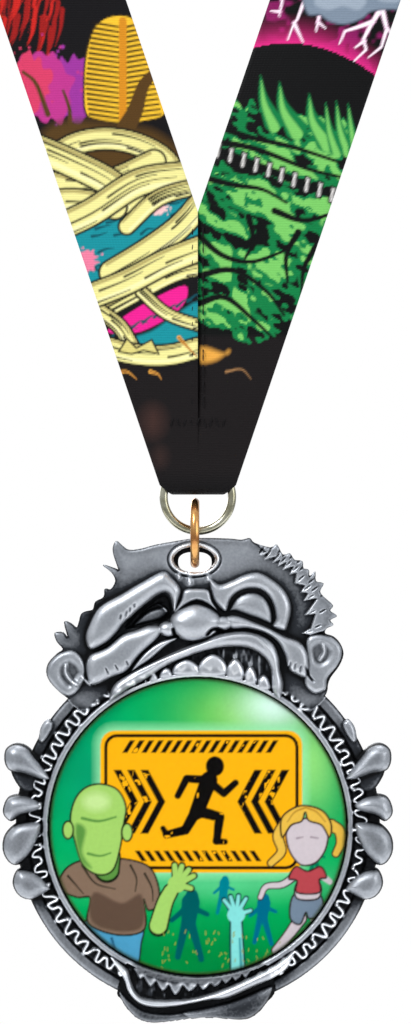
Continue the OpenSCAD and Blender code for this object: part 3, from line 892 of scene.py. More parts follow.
def assemble_casting(gx, gz, height, tone, cells, loops, inward):
    """One closed mesh: the relief, its walls, the recess floor and the back with its seat."""
    used = np.unique(grid_faces(cells))
    index = np.full(len(gx), -1)
    index[used] = np.arange(len(used))
    verts = [on_medal(gx[used], gz[used], height[used])]
    tones = [tone[used]]
    faces = index[grid_faces(cells)].tolist()
    count = len(used)
    back_edges = []

    def add_loop(x, z, depth, value):
        nonlocal count
        n = len(x)
        verts.append(on_medal(x, z, np.full(n, float(depth))))
        tones.append(np.full(n, value))
        count += n
        return list(range(count - n, count))

    def join(a, b):
        n = len(a)
        faces.extend([a[k], a[(k + 1) % n], b[(k + 1) % n], b[k]] for k in range(n))

    def circle(r, depth, value, n=180):
        turn = np.linspace(0, 2 * math.pi, n, endpoint=False)
        return add_loop(r * np.cos(turn), r * np.sin(turn), depth, value)

    for loop in loops:
        loop = np.array(loop)
        x, z = gx[loop], gz[loop]
        top = index[loop].tolist()
        if np.hypot(x, z).max() < RECESS_R + 1:
            floor = add_loop(x, z, RECESS_FLOOR, 0.1)
            join(top, floor)
            inner = add_loop(x * 0.9, z * 0.9, RECESS_FLOOR, 0.3)
            join(floor, inner)
            faces.append(inner)
            continue
        side = add_loop(x, z, BACK + 0.3, 0.42)
        join(top, side)
        inset = 0.22 * inward[loop]
        low = add_loop(x + inset[:, 0], z + inset[:, 1], BACK, 0.5)
        join(side, low)
        back_edges.append(low)
    seat_edge = circle(RECESS_R + 0.25, BACK, 0.6)
    seat_top = circle(RECESS_R, BACK + 0.25, 0.5)
    seat_floor = circle(RECESS_R - 0.1, SEAT_FLOOR, 0.25)
    seat_in = circle(RECESS_R - 1.2, SEAT_FLOOR, 0.45)
    join(seat_edge, seat_top)
    join(seat_top, seat_floor)
    join(seat_floor, seat_in)
    faces.append(seat_in)
    back_edges.append(seat_edge)
    verts, tones = np.vstack(verts), np.concatenate(tones)
    faces.extend(fill_between(verts, back_edges))
    piece = add_object("casting", verts, faces, "medal", silver_look())
    add_value(piece, "tone", tones)
    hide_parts("medal_casting")
    return piece


def fill_between(verts, loops):
    """Triangles of the flat back between its loops."""
    bm = bmesh.new()
    made = {}
    for loop in loops:
        for i in loop:
            made[i] = bm.verts.new(verts[i])
    for loop in loops:
        for k, i in enumerate(loop):
            bm.edges.new((made[i], made[loop[(k + 1) % len(loop)]]))
    names = {v: i for i, v in made.items()}
    out = bmesh.ops.triangle_fill(bm, edges=bm.edges[:], use_beauty=True, use_dissolve=False)
    triangles = [[names[v] for v in f.verts] for f in out["geom"] if isinstance(f, bmesh.types.BMFace)]
    bm.free()
    return triangles


# ---------------------------------------------------------------- insert
def disc_mesh(radius, pitch):
    """A round grid with its edge vertices on the circle, and the loop of its edge."""
    reach = radius + 2 * pitch
    x, z = np.meshgrid(np.arange(-reach, reach, pitch), np.arange(-reach, reach, pitch))
    depth = radius - np.hypot(x, z)
    gx, gz, cells, loops, _ = cut_grid(x, z, depth, pitch)
    faces = grid_faces(cells)
    used = np.unique(faces)
    index = np.full(len(gx), -1)
    index[used] = np.arange(len(used))
    return gx[used], gz[used], index[faces].tolist(), index[np.array(loops[0])].tolist()


def paint_field(art):
    """Green sky that brightens towards the upper right, over dark ground; the palest spot at the upper right
    is a painted highlight of the dome's shine.
    """
    x, z = art.x, art.z
    colour = np.zeros((len(x), 3)) + rgb(0, 164, 88)

    def glow(cx, cz, rx, rz, tint, strength=1.0):
        nonlocal colour
        share = strength * np.exp(-(((x - cx) / rx) ** 2) - ((z - cz) / rz) ** 2)[:, None]
        colour = colour * (1 - share) + rgb(*tint) * share

    glow(-18, 8, 9, 14, (0, 140, 104), 0.8)
    glow(0, -22, 26, 7, (0, 120, 52), 0.9)
    glow(7, 19, 8, 5, (132, 200, 84), 0.9)
    # painted highlight: this pale spot stands in for the dome's shine
    glow(13.5, 20.5, 6, 4, (222, 244, 236), 0.95)
    glow(19, 11, 4.5, 8, (150, 214, 120), 0.85)
    glow(4, -9.5, 20, 2.6, (96, 200, 140), 0.75)
    glow(0, 4, 19, 14, (40, 178, 104), 0.2)
    art.colour = colour * (0.94 + 0.12 * noise(x, z, 3.0, 21))[:, None]


def rounded_box(x0, z0, x1, z1, r):
    turn = np.linspace(0, math.pi / 2, 5)
    corners = [(x1 - r, z1 - r, 0), (x0 + r, z1 - r, 1), (x0 + r, z0 + r, 2), (x1 - r, z0 + r, 3)]
    return [(cx + r * math.cos(a + q * math.pi / 2), cz + r * math.sin(a + q * math.pi / 2))
            for cx, cz, q in corners for a in turn]


def paint_panel(art):
    """An amber board with hazard stripes and a plain running figure between chevrons."""
    ink, amber = rgb(14, 12, 12), rgb(246, 170, 18)
    art.shape(rounded_box(-17.0, -8.3, 18.2, 16.8, 2.8), rgb(150, 222, 170), curved=False, soft=1.2)
    art.shape(rounded_box(-16.5, -7.8, 17.7, 16.25, 2.4), amber, curved=False)
    art.shape(rounded_box(-15.6, -7.0, 16.8, 15.4, 1.9), amber, line=ink, width=0.55, curved=False)
    for low, high, left, right, lean in ((12.5, 14.6, -12.8, 13.2, 1.3), (-5.9, -4.1, -9.5, 12.4, -1.2)):
        pitch = 1.62
        for k in range(int((right - left) / pitch)):
            x = left + k * pitch
            art.shape([(x, low), (x + 0.85, low), (x + 0.85 + lean, high), (x + lean, high)], ink,
                      curved=False)
    for side in (-1, 1):
        for k in range(3):
            x = side * (13.6 - 2.3 * k) + 0.6
            chevron = [(x, 9.6), (x + side * 1.3, 9.6), (x - side * 1.6, 4.2), (x + side * 1.3, -1.2),
                       (x, -1.2), (x - side * 2.9, 4.2)]
            art.shape(chevron, ink, curved=False)
    paint_runner(art, ink)
    wear = noise(art.x, art.z, 0.55, 31) * noise(art.x, art.z, 2.4, 33)
    on_board = (np.abs(art.x - 0.6) < 14) & (art.z > -6.2) & (art.z < 14.8) & (art.colour.max(1) < 0.05)
    art.lay(np.flatnonzero(on_board), (wear[on_board] - 0.5) * 9, amber)


def paint_runner(art, ink):
    """A running figure made of round-ended bars, with no face."""
    art.oval(2.9, 10.2, 1.55, 1.7, ink)
    art.stroke([(1.9, 7.9), (0.4, 4.0), (-0.2, 2.4)], ink, 2.9, 2.5)
    art.stroke([(1.9, 7.7), (4.4, 5.6), (6.4, 7.4)], ink, 1.5, 1.1, curved=False)
    art.stroke([(1.7, 7.9), (-1.9, 8.1), (-3.4, 5.2)], ink, 1.5, 1.1, curved=False)
    art.stroke([(0.1, 2.6), (3.7, 1.6), (3.2, -2.4)], ink, 2.0, 1.3, curved=False)
    art.stroke([(3.1, -2.5), (4.6, -2.6)], ink, 1.2, 1.0, curved=False)
    art.stroke([(-0.2, 2.7), (-2.1, -0.6), (-5.3, -1.4)], ink, 2.0, 1.3, curved=False)
    art.stroke([(-5.3, -1.4), (-5.9, -0.3)], ink, 1.1, 0.9, curved=False)


def paint_hand(art, x, z, reach, turn, skin, ink, width=1.0):
    """An open hand: a palm and five fingers fanned about the direction turn."""
    for k, spread in enumerate((-78, -36, -12, 12, 34)):
        a = math.radians(turn + spread)
        length = reach * (0.78 if k == 0 else 1.0)
        tip = (x + length * math.cos(a), z + length * math.sin(a))
        art.stroke([(x, z), tip], ink, width + 0.45, width * 0.8 + 0.35, curved=False)
    for k, spread in enumerate((-78, -36, -12, 12, 34)):
        a = math.radians(turn + spread)
        length = reach * (0.76 if k == 0 else 0.97)
        tip = (x + length * math.cos(a), z + length * math.sin(a))
        art.stroke([(x, z), tip], skin, width, width * 0.7, curved=False)
    art.oval(x, z, reach * 0.42, reach * 0.46, skin, tilt=turn)


def paint_crowd(art):
    """Runners far off, as plain shapes."""
    for x, z, size, tint in ((-1.6, -16.5, 1.0, (0, 84, 88)), (4.3, -11.6, 0.55, (0, 118, 134)),
                             (10.9, -15.6, 0.72, (0, 98, 128)), (19.8, -6.0, 0.5, (0, 110, 80))):
        shade = rgb(*tint)
        art.oval(x + 0.6 * size, z + 4.6 * size, 1.1 * size, 1.3 * size, shade)
        art.stroke([(x + 0.4 * size, z + 3.6 * size), (x, z)], shade, 3.1 * size, 2.4 * size)
        art.stroke([(x, z + 3 * size), (x - 2.8 * size, z + 0.6 * size)], shade, 1.1 * size, 0.8 * size)
        art.stroke([(x, z + 3 * size), (x + 3.2 * size, z + 1.6 * size)], shade, 1.1 * size, 0.8 * size)
        art.stroke([(x - 0.5 * size, z), (x - 1.8 * size, z - 5.6 * size)], shade, 1.5 * size, 1.0 * size)
        art.stroke([(x + 0.5 * size, z), (x + 2.2 * size, z - 6.0 * size)], shade, 1.5 * size, 1.0 * size)


def paint_left_runner(art):
    """A heavy figure in a brown shirt and blue trousers, bald, its face only two plain lines."""
    ink, skin, dark_skin = rgb(22, 26, 18), rgb(158, 196, 100), rgb(88, 138, 62)
    shirt, shirt_dark, trousers = rgb(128, 102, 86), rgb(92, 70, 58), rgb(74, 148, 186)
    art.shape([(-19.0, -16.0), (-10.0, -17.0), (-9.6, -20.0), (-10.8, -25.6), (-14.5, -25.6), (-19.5, -20.5)],
              trousers, line=ink)
    art.stroke([(-14.6, -19.0), (-13.2, -23.6)], rgb(40, 92, 126), 0.5, 0.3)
    body = [(-13.4, -5.4), (-8.6, -6.6), (-6.8, -9.6), (-6.6, -13.2), (-8.4, -14.2), (-9.2, -12.4),
            (-9.0, -17.4),
            (-13.5, -18.4), (-18.6, -16.4), (-18.2, -12.2), (-20.6, -12.0), (-23.6, -10.4), (-22.4, -7.2),
            (-19.0, -5.6)]
    art.shape(body, shirt, line=ink)
    art.shape([(-17.6, -11.2), (-13.0, -13.0), (-9.6, -11.6), (-9.4, -16.9), (-13.6, -17.8), (-18.0, -16.0)],
              shirt_dark, soft=0.3)
    for fold in ([(-19.6, -6.6), (-17.4, -9.6), (-14.0, -10.6)],
                 [(-11.4, -6.6), (-10.4, -8.8), (-10.6, -11.0)],
                 [(-9.0, -8.0), (-7.8, -10.4), (-7.6, -12.6)],
                 [(-22.0, -8.4), (-20.6, -10.0), (-19.4, -11.4)]):
        art.stroke(fold, ink, 0.35, 0.15)
    art.stroke([(-6.7, -17.0), (-5.6, -13.0), (-4.6, -11.0)], ink, 3.4, 2.8)
    art.stroke([(-6.7, -16.8), (-5.6, -13.0), (-4.6, -11.0)], skin, 2.8, 2.2)
    paint_hand(art, -3.6, -9.8, 3.3, 62, skin, ink, 1.15)
    art.stroke([(-15.4, -7.4), (-15.0, -5.2)], ink, 4.4, 4.0)
    art.stroke([(-15.4, -7.2), (-15.0, -5.2)], dark_skin, 3.8, 3.4)
    head = [(-16.4, 7.2), (-13.6, 6.2), (-12.2, 3.4), (-12.6, 0.2), (-13.2, -3.8), (-14.4, -7.4),
            (-16.8, -8.2),
            (-19.4, -6.6), (-20.8, -2.6), (-21.6, 1.2), (-20.8, 4.6), (-19.0, 6.6)]
    art.shape(head, skin, line=ink)
    art.oval(-22.0, -0.6, 0.9, 1.5, skin, line=ink)
    art.oval(-12.0, -1.0, 0.9, 1.5, skin, line=ink)
    art.shape([(-20.6, 0.4), (-19.0, -0.6), (-19.6, -4.4), (-18.0, -7.0), (-19.6, -6.0), (-20.6, -2.6)],
              dark_skin, soft=0.35)
    art.oval(-17.2, 4.2, 2.2, 1.5, rgb(190, 216, 142), soft=0.8)
    art.stroke([(-19.6, 1.4), (-16.8, 0.9), (-13.9, 1.6)], dark_skin, 0.5, 0.3)
    art.stroke([(-18.6, -4.6), (-16.6, -5.0), (-14.8, -4.5)], dark_skin, 0.45, 0.25)


def paint_right_runner(art):
    """A slim figure with fair bunches, red top and grey shorts, its eyes two plain lines."""
    ink, skin, hair = rgb(40, 26, 30), rgb(200, 184, 192), rgb(224, 176, 70)
    for bunch in ([(14.9, 0.6), (13.6, -1.6), (14.2, -4.2), (12.4, -6.2)],
                  [(22.6, 0.2), (24.0, -0.8), (24.2, -2.8), (23.4, -4.6)]):
        art.stroke(bunch, ink, 2.3, 1.5)
        art.stroke(bunch, hair, 1.8, 1.0)
    art.stroke([(17.4, -15.6), (15.4, -18.4), (13.2, -21.0)], ink, 2.3, 1.6)
    art.stroke([(17.4, -15.6), (15.4, -18.4), (13.2, -21.0)], skin, 1.8, 1.1)
    art.stroke([(20.2, -15.0), (20.0, -16.6)], skin, 2.2, 1.8)
    art.shape([(16.4, -11.4), (20.6, -11.4), (21.2, -15.0), (18.9, -15.6), (18.3, -14.6), (17.3, -16.6),
               (15.6, -15.4)], rgb(112, 126, 146), line=ink)
    art.shape([(16.9, -9.6), (20.6, -9.6), (20.4, -12.2), (16.8, -12.2)], skin, line=ink)
    art.stroke([(16.9, -8.0), (14.4, -9.8), (11.6, -10.2), (10.6, -12.0)], ink, 1.6, 1.1)
    art.stroke([(16.9, -8.0), (14.4, -9.8), (11.6, -10.2), (10.6, -12.0)], skin, 1.1, 0.7)
    art.stroke([(20.6, -8.0), (22.4, -9.4)], skin, 1.3, 0.9)
    art.shape([(16.6, -6.8), (18.6, -7.6), (20.8, -6.8), (21.8, -8.6), (20.6, -9.0), (20.6, -11.2),
               (16.8, -11.2),
               (16.8, -9.2), (15.4, -8.8)], rgb(176, 66, 74), line=ink)
    art.shape([(15.2, -0.4), (15.4, -3.8), (17.0, -6.2), (18.6, -6.6), (20.4, -5.8), (21.8, -3.4),
               (21.8, -0.2),
               (18.4, 1.4)], skin, line=ink)
    art.shape([(14.3, -1.8), (14.2, 1.4), (16.4, 3.2), (18.6, 3.5), (21.2, 2.6), (22.6, 0.4), (22.3, -1.8),
               (21.0, 0.2), (18.8, 1.0), (18.2, 2.4), (17.6, 0.9), (15.8, 0.2)], hair, line=ink)
    for lock in ([(18.2, 3.2), (16.4, 2.4), (15.2, 0.8)], [(18.4, 3.2), (20.2, 2.4), (21.6, 0.8)]):
        art.stroke(lock, rgb(176, 124, 40), 0.3, 0.15)
    art.stroke([(16.8, -2.0), (17.8, -1.8)], rgb(150, 132, 142), 0.35, 0.2)
    art.stroke([(19.2, -1.8), (20.4, -2.0)], rgb(150, 132, 142), 0.35, 0.2)


def paint_insert(art):
    paint_field(art)
    paint_panel(art)
    paint_crowd(art)
    teal, ink = rgb(128, 208, 206), rgb(20, 60, 64)
    art.stroke([(6.8, -25.2), (6.6, -20.0), (6.5, -16.2)], ink, 2.9, 2.3)
    art.stroke([(6.8, -25.2), (6.6, -20.0), (6.5, -16.2)], teal, 2.2, 1.7)
    art.stroke([(7.4, -24.6), (7.1, -19.0)], rgb(52, 140, 150), 0.5, 0.3)
    paint_hand(art, 6.5, -15.0, 3.3, 95, teal, ink, 0.75)
    paint_left_runner(art)
    paint_right_runner(art)
    draw = np.random.default_rng(5)
    for _ in range(60):
        x, z = draw.uniform(-6, 14), draw.uniform(-24.5, -18)
        art.stroke([(x, z), (x + draw.uniform(-0.3, 0.3), z + draw.uniform(0.2, 0.6))], rgb(150, 150, 60),
                   0.16, 0.08)
    radius = np.hypot(art.x, art.z)
    every = np.arange(len(art.x))
    art.lay(every, (radius - DISC_R + 0.75) / 0.5 * 0.75, rgb(60, 70, 30))
    art.lay(every, (radius - DISC_R + 0.3) / 0.2, rgb(24, 26, 22))


def build_insert():
    pitch = 0.185
    x, z, faces, edge = disc_mesh(DISC_R, pitch)
    art = Canvas(x, z, rgb(0, 160, 85))
    paint_insert(art)
    count = len(x)
    top, bottom = -disc_low[1] + RING_PLANE, -disc_high[1] + RING_PLANE
    turn = len(edge)
    verts = [on_medal(x, z, np.full(count, top))]
    rim = np.array(edge)
    verts.append(on_medal(x[rim], z[rim], np.full(turn, bottom)))
    verts.append(on_medal(np.zeros(1), np.zeros(1), np.array([bottom])))
    low = list(range(count, count + turn))
    for k in range(turn):
        faces.append([edge[k], edge[(k + 1) % turn], low[(k + 1) % turn], low[k]])
        faces.append([low[k], low[(k + 1) % turn], count + turn])
    colour = np.vstack([art.colour, np.tile(rgb(40, 44, 40), (turn, 1)), [rgb(200, 200, 196)]])
    piece = add_object("printed_insert", np.vstack(verts), faces, "medal",
                       print_look("insert_print"))
    add_colour(piece, colour)
    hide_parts("insert_disc")


def build_dome():
    """Poured dome: a low crown that rounds down to a short edge."""
    low, high = box_mm("insert_dome")
    radius = (high[0] - low[0]) / 2
    foot, crown = RING_PLANE - high[1] + 0.05, RING_PLANE - low[1]
    edge = 0.3
    share = np.concatenate([np.linspace(0, 0.94, 26),
                            0.94 + 0.06 * np.sin(np.linspace(0.15, 1, 9) * math.pi / 2)])
    height = foot + edge + (crown - foot - edge) * (1 - share**2)
    height[-9:] -= edge * (1 - np.cos(np.linspace(0.1, 1, 9) * math.pi / 2)) * 0.9
    profile = [(radius * s, h) for s, h in zip(share[1:], height[1:])] + [(radius * 0.997, foot)]
    verts = [[0, RING_PLANE - height[0], MEDAL_Z]]
    turns = 128
    for r, h in profile:
        a = np.linspace(0, 2 * math.pi, turns, endpoint=False)
        verts.extend(on_medal(r * np.cos(a), r * np.sin(a), np.full(turns, h)).tolist())
    faces = [[0, 1 + k, 1 + (k + 1) % turns] for k in range(turns)]
    for ring in range(len(profile) - 1):
        a, b = 1 + ring * turns, 1 + (ring + 1) * turns
        faces.extend([a + k, a + (k + 1) % turns, b + (k + 1) % turns, b + k] for k in range(turns))
    last = 1 + (len(profile) - 1) * turns
    verts.append([0, RING_PLANE - foot, MEDAL_Z])
    faces.extend([last + k, last + (k + 1) % turns, len(verts) - 1] for k in range(turns))
    piece = add_object("resin_dome", verts, faces, "medal", dome_look())
    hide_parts("insert_dome")


# ---------------------------------------------------------------- rings
def swept(path, frames, radius, sides=24):
    """A tube along a path, its cut ends slightly rounded."""
    rings, verts, faces = [], [], []
    turn = np.linspace(0, 2 * math.pi, sides, endpoint=False)
    last = len(path) - 1
    for k, (u, v) in enumerate(frames):
        scale = 0.75 if k in (0, last) else 1.0
        ring = path[k] + radius * scale * (np.outer(np.cos(turn), u) + np.outer(np.sin(turn), v))
        rings.append(list(range(len(verts), len(verts) + sides)))
        verts.extend(ring.tolist())
    for a, b in zip(rings, rings[1:]):
        faces.extend([a[k], a[(k + 1) % sides], b[(k + 1) % sides], b[k]] for k in range(sides))
    faces.append(rings[0][::-1])
    faces.append(rings[-1])
    return verts, faces


def build_ring(name, node, body, look, axis, split_angle):
    """A butted wire ring in the place of its CAD node."""
    low, high = box_mm(node)
    centre = (low + high) / 2
    wire = (high - low)[axis] / 2
    mean = (high - low)[2] / 2 - wire
    gap = 0.12 / mean
    steps = 200
    inset = 0.1 / mean
    turn = np.concatenate([[gap / 2], np.linspace(gap / 2 + inset, 2 * math.pi - gap / 2 - inset, steps),
                           [2 * math.pi - gap / 2]]) + split_angle
    side = np.eye(3)[axis]
    outward = np.zeros((len(turn), 3))
    outward[:, 0 if axis == 1 else 1] = np.cos(turn)
    outward[:, 2] = np.sin(turn)
    path = centre + mean * outward
    verts, faces = swept(path, [(o, side) for o in outward], wire, sides=36)
    piece = add_object(name, verts, faces, body, look)
    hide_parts(node)


# ---------------------------------------------------------------- ribbon
FINE = 0.26              # spacing of the print's points on the ribbon's visible part
VIEW_TOP = CROTCH_Z + 37
COLUMNS = 82
BACK_SHARES = np.array([0, 0.03, 0.25, 0.5, 0.75, 0.97, 1])
EDGE_X = RIBBON_W * math.cos(STRAP_TILT)                 # outer corner of the strap at the crotch
EDGE_Z = CROTCH_Z - RIBBON_W * math.sin(STRAP_TILT)
FOLD_GAP = 1.3                                           # middle of the ribbon from the rings' plane
TAB_H = 25.0
POCKET_H = 9.0


def outer_x(z):
    return EDGE_X + (z - EDGE_Z) * STRAP_TAN


def bezier(p, t):
    a, b, c, d = p
    return (1 - t) ** 3 * a + 3 * (1 - t) ** 2 * t * b + 3 * (1 - t) * t**2 * c + t**3 * d


def right_rows():
    """Rows of the ribbon's right half from its turned-up end to the nape: inner edge, outer edge
    and the printed side's normal."""
    rows = []
    fold_top = FOLD_Z + FOLD_GAP + RIBBON_T / 2
    tab_top = fold_top + TAB_H
    for z in np.linspace(tab_top, fold_top, 20)[:-1]:
        share = smooth_step((z - fold_top - 4.0) / (POCKET_H - 4.0))
        y = RING_PLANE + FOLD_GAP - share * (2 * FOLD_GAP - RIBBON_T)
        rows.append(((0, y, z), (outer_x(z) - 0.6, y, z), (0, 1, 0)))
    neck = 4.6
    for a in np.linspace(0, math.pi, 17):
        y = RING_PLANE + FOLD_GAP * math.cos(a)
        z = fold_top - FOLD_GAP * math.sin(a)
        wide = outer_x(fold_top) - 0.6 * (1 + math.cos(a)) / 2
        x = neck + (wide - neck) * (1 - math.sin(a)) ** 0.8
        rows.append(((0, y, z), (x, y, z), (0, math.cos(a), -math.sin(a))))
    fine = np.arange(fold_top + FINE, VIEW_TOP, FINE)
    coarse = np.linspace(VIEW_TOP, HINGE_Z, 76)
    for z in np.concatenate([fine, coarse]):
        inner = max(0.0, (z - CROTCH_Z) * STRAP_TAN)
        rows.append(((inner, STRAP_Y, z), (outer_x(z), STRAP_Y, z), (0, -1, 0)))
    return rows + neck_rows(rows[-1])


def neck_rows(last):
    """The shoulder bend and the route round the neck."""
    along0 = np.array([math.sin(STRAP_TILT), 0, math.cos(STRAP_TILT)])
    across0 = np.array([math.cos(STRAP_TILT), 0, -math.sin(STRAP_TILT)])
    shoulder_z = HINGE_Z + 6.4
    middle = (np.array(last[0]) + np.array(last[1])) / 2
    start = middle + along0 * (shoulder_z - middle[2]) / along0[2]
    route = [start, start + 45 * along0, np.array([64.0, 0, 0]), np.zeros(3)]
    nape = unit([0, 0.35, -0.94])
    rows = []
    steps = 56
    for k in range(steps + 1):
        t = k / steps
        at = bezier(route, t)
        along = unit(bezier(route, min(t + 1e-3, 1)) - bezier(route, min(t + 1e-3, 1) - 1e-3))
        outward = unit([1 - t, 0.9 * t, -0.25])
        lean = (1 - t) ** 2 * across0 + 2 * t * (1 - t) * outward + t * t * nape
        across = unit(lean - (lean @ along) * along)
        half = across * RIBBON_W / 2
        rows.append((at - half, at + half, -np.cross(along, across)))
    first, bend = rows[0], []
    for share in np.linspace(0, 1, 7)[1:-1]:
        bend.append(tuple(np.array(a) * (1 - share) + np.array(b) * share for a, b in zip(last, first)))
    return bend + rows


def ribbon_points(rows, lap):
    """Front and back points of each row, with the ribbon's crown, its waves and the mitre's crease."""
    inner = np.array([r[0] for r in rows], float)[:, None]
    outer = np.array([r[1] for r in rows], float)[:, None]
    normal = np.array([unit(r[2]) for r in rows])[:, None]
    out = []
    for shares, side in ((np.linspace(0, 1, COLUMNS + 1), 1), (BACK_SHARES, -1)):
        u = shares[None, :, None]
        place = inner + (outer - inner) * u
        width = np.linalg.norm(outer - inner, axis=-1, keepdims=True)
        z = place[..., 2:3]
        open_seam = np.maximum(smooth_step((z - FOLD_Z - 10) / 8) * (normal[..., 1:2] < -0.5), u > 0.5)
        from_edge = np.minimum(u, 1 - u) * width
        half = RIBBON_T / 2 * (1 - 0.55 * open_seam * (1 - round_off(from_edge / 0.5)))
        free = smooth_step((z - CROTCH_Z + 12) / 30) * (normal[..., 1:2] < -0.5)
        crown = free * 0.5 * (1 - (2 * u - 1) ** 2)
        wave = free * (0.35 * np.sin(z / 17 + lap) + 0.2 * np.sin(z / 7.3 + 4 * u + 2 * lap))
        front = (normal[..., 1:2] < -0.5) & (z > RING_Z + 5)
        low = smooth_step((CROTCH_Z + 2 - z) / 3) * smooth_step((z - RING_Z - 6) / 14) * front
        x = np.abs(place[..., 0:1])
        crease = low * (0.32 * lap * np.exp(-(x / 2.2) ** 2) - 0.3 * np.exp(-(x / 0.7) ** 2) * (lap < 0))
        out.append(place + normal * (side * half + crown + wave + crease))
    return out


def build_ribbon():
    right = right_rows()
    front_r, back_r = ribbon_points(right, -1.0)
    front_l, back_l = ribbon_points(right, 1.0)
    along_r = np.concatenate([[0], np.cumsum(np.linalg.norm(np.diff(front_r[:, COLUMNS // 2], axis=0),
                                                            axis=1))])
    flip = np.array([-1, 1, 1])
    front = np.concatenate([front_r[:-1], (front_l * flip)[::-1]])
    back = np.concatenate([back_r[:-1], (back_l * flip)[::-1]])
    along = np.concatenate([along_r[:-1], 2 * along_r[-1] - along_r[::-1]])
    rows, cols = len(front), front.shape[1] + back.shape[1]
    verts = np.concatenate([front, back[:, ::-1]], axis=1)
    base = np.arange(rows - 1)[:, None] * cols + np.arange(cols)[None, :]
    after = np.arange(rows - 1)[:, None] * cols + (np.arange(cols) + 1)[None, :] % cols
    faces = np.stack([base, after, after + cols, base + cols], -1).reshape(-1, 4).tolist()
    for row in (0, rows - 1):
        faces.extend(end_cap(row * cols, front.shape[1], back.shape[1]))
    piece = add_object("ribbon", verts.reshape(-1, 3), faces, None,
                       print_look("ribbon_print", weave=True))
    sharpen_edges(piece.data, cols, (0, COLUMNS))
    add_value(piece, "along", np.repeat(along, cols))
    shares = np.concatenate([np.linspace(0, 1, COLUMNS + 1), BACK_SHARES[::-1]]) * RIBBON_W
    add_value(piece, "across", np.tile(shares, rows))
    add_colour(piece, ribbon_colours(verts, along, along_r[-1], front.shape[1]))
    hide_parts("ribbon_neck_band", "ribbon_strap_left", "ribbon_strap_right", "ribbon_pocket")
    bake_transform(piece)
    return piece, 2 * along_r[-1]


def sharpen_edges(mesh, cols, corners):
    """Keeps the shading of the printed side apart from that of the ribbon's thin edges."""
    ends = np.zeros(2 * len(mesh.edges), int)
    mesh.edges.foreach_get("vertices", ends)
    column = ends.reshape(-1, 2) % cols
    sharp = np.isin(column[:, 0], corners) & (column[:, 0] == column[:, 1])
    mesh.attributes.new("sharp_edge", "BOOLEAN", "EDGE").data.foreach_set("value", sharp)


def end_cap(first, front, back):
    """Faces across a cut end, from the fine front edge to the coarse back edge."""
    front_ids = [first + k for k in range(front)]
    back_ids = [first + front + k for k in range(back)][::-1]
    faces = []
    j = 0
    for k in range(front - 1):
        while j < back - 2 and BACK_SHARES[j + 1] <= (k + 0.5) / (front - 1):
            faces.append([front_ids[k], back_ids[j + 1], back_ids[j]])
            j += 1
        faces.append([front_ids[k], front_ids[k + 1], back_ids[j]])
    while j < back - 1:
        faces.append([front_ids[-1], back_ids[j + 1], back_ids[j]])
        j += 1
    return faces


# ---------------------------------------------------------------- the ribbon's print
BLACK = rgb(14, 12, 15)
CHARCOAL = rgb(21, 17, 18)
ART_Z = CROTCH_Z + 1.1       # height that the drawings of the print count from
ART_TOP = 36.0               # above this the print is drifting smoke


def ribbon_colours(verts, along, half_length, front_cols):
    """Colours of every ribbon point: drawn on the printed side, plain dark on the other."""
    rows, cols, _ = verts.shape
    colour = np.tile(CHARCOAL * 0.8, (rows, cols, 1))
    across = np.broadcast_to(np.arange(cols) * RIBBON_W / COLUMNS, (rows, cols))
    from_fold = np.broadcast_to(np.minimum(along, 2 * half_length - along)[:, None], (rows, cols))
    for side in (1, -1):
        mask = np.zeros((rows, cols), bool)
        mask[:, :front_cols] = True
        mask &= (verts[..., 0] * side > 0) | ((along < half_length) == (side > 0))[:, None]
        at = verts[mask]
        art = Canvas(np.abs(at[:, 0]), at[:, 2] - ART_Z, CHARCOAL)
        (paint_right if side > 0 else paint_left)(art)
        every = np.arange(len(art.x))
        # painted shade: the print darkens to near black towards the bottom fold round the ring
        art.lay(every, (-art.z - 44.6) / 4.0, rgb(9, 8, 10))
        on_front = at[:, 1] < RING_PLANE
        art.colour[~on_front] = CHARCOAL
        smoke = smoke_colours(across[mask], from_fold[mask], side)
        up_strap = smooth_step((art.z - ART_TOP) / 4.0)[:, None]
        up_strap[~on_front & (art.z < 0)] = 0
        art.colour = art.colour * (1 - up_strap) + smoke * up_strap
        colour[mask] = art.colour
    return colour.reshape(-1, 3)


def smoke_colours(across, run, side):
    """Drifting smoke over black, in the colours of the strap that it continues."""
    tints = ((196, 40, 30), (126, 26, 88)) if side < 0 else ((190, 34, 116), (72, 84, 112))
    deep, pale = (rgb(*tint) for tint in tints)
    slant = run + 0.8 * side * across
    thick = 0.6 * noise(across, slant, 9.0, 61) + 0.28 * noise(across, slant, 4.3,
                                                               62) + 0.12 * noise(across, slant, 2.2, 63)
    share = smooth_step((thick - 0.42) / 0.3)[:, None]
    blend = smooth_step((noise(across, slant, 16.0, 64) - 0.25) / 0.5)[:, None]
    return BLACK * (1 - share) + (deep * blend + pale * (1 - blend)) * share


def bandage(art, path, width, seed):
    """A wrapped strip of old linen: inked edges, a shaded side and thin creases along it."""
    ink, linen, shade, light = rgb(20, 17, 12), rgb(230, 222, 144), rgb(176, 162, 98), rgb(238, 232, 170)
    line = curve(path, closed=False)
    side = np.stack([-np.gradient(line[:, 1]), np.gradient(line[:, 0])], 1)
    side /= np.linalg.norm(side, axis=1, keepdims=True)
    art.stroke(line, ink, width + 0.8, curved=False)
    art.stroke(line, linen, width, curved=False)
    art.stroke(line - 0.42 * width * side, shade, width * 0.13, curved=False)
    art.stroke(line + 0.3 * width * side, light, width * 0.18, curved=False)
    draw = np.random.default_rng(seed)
    for offset in (-0.3, -0.12, 0.06, 0.22, 0.36):
        first, last = sorted(draw.integers(0, len(line), 2))
        last = min(max(last, first + 6), len(line))
        crease = line[first:last] + (offset + draw.uniform(-0.05, 0.05)) * width * side[first:last]
        if len(crease) > 1:
            art.stroke(crease, ink, 0.4, 0.12, curved=False)


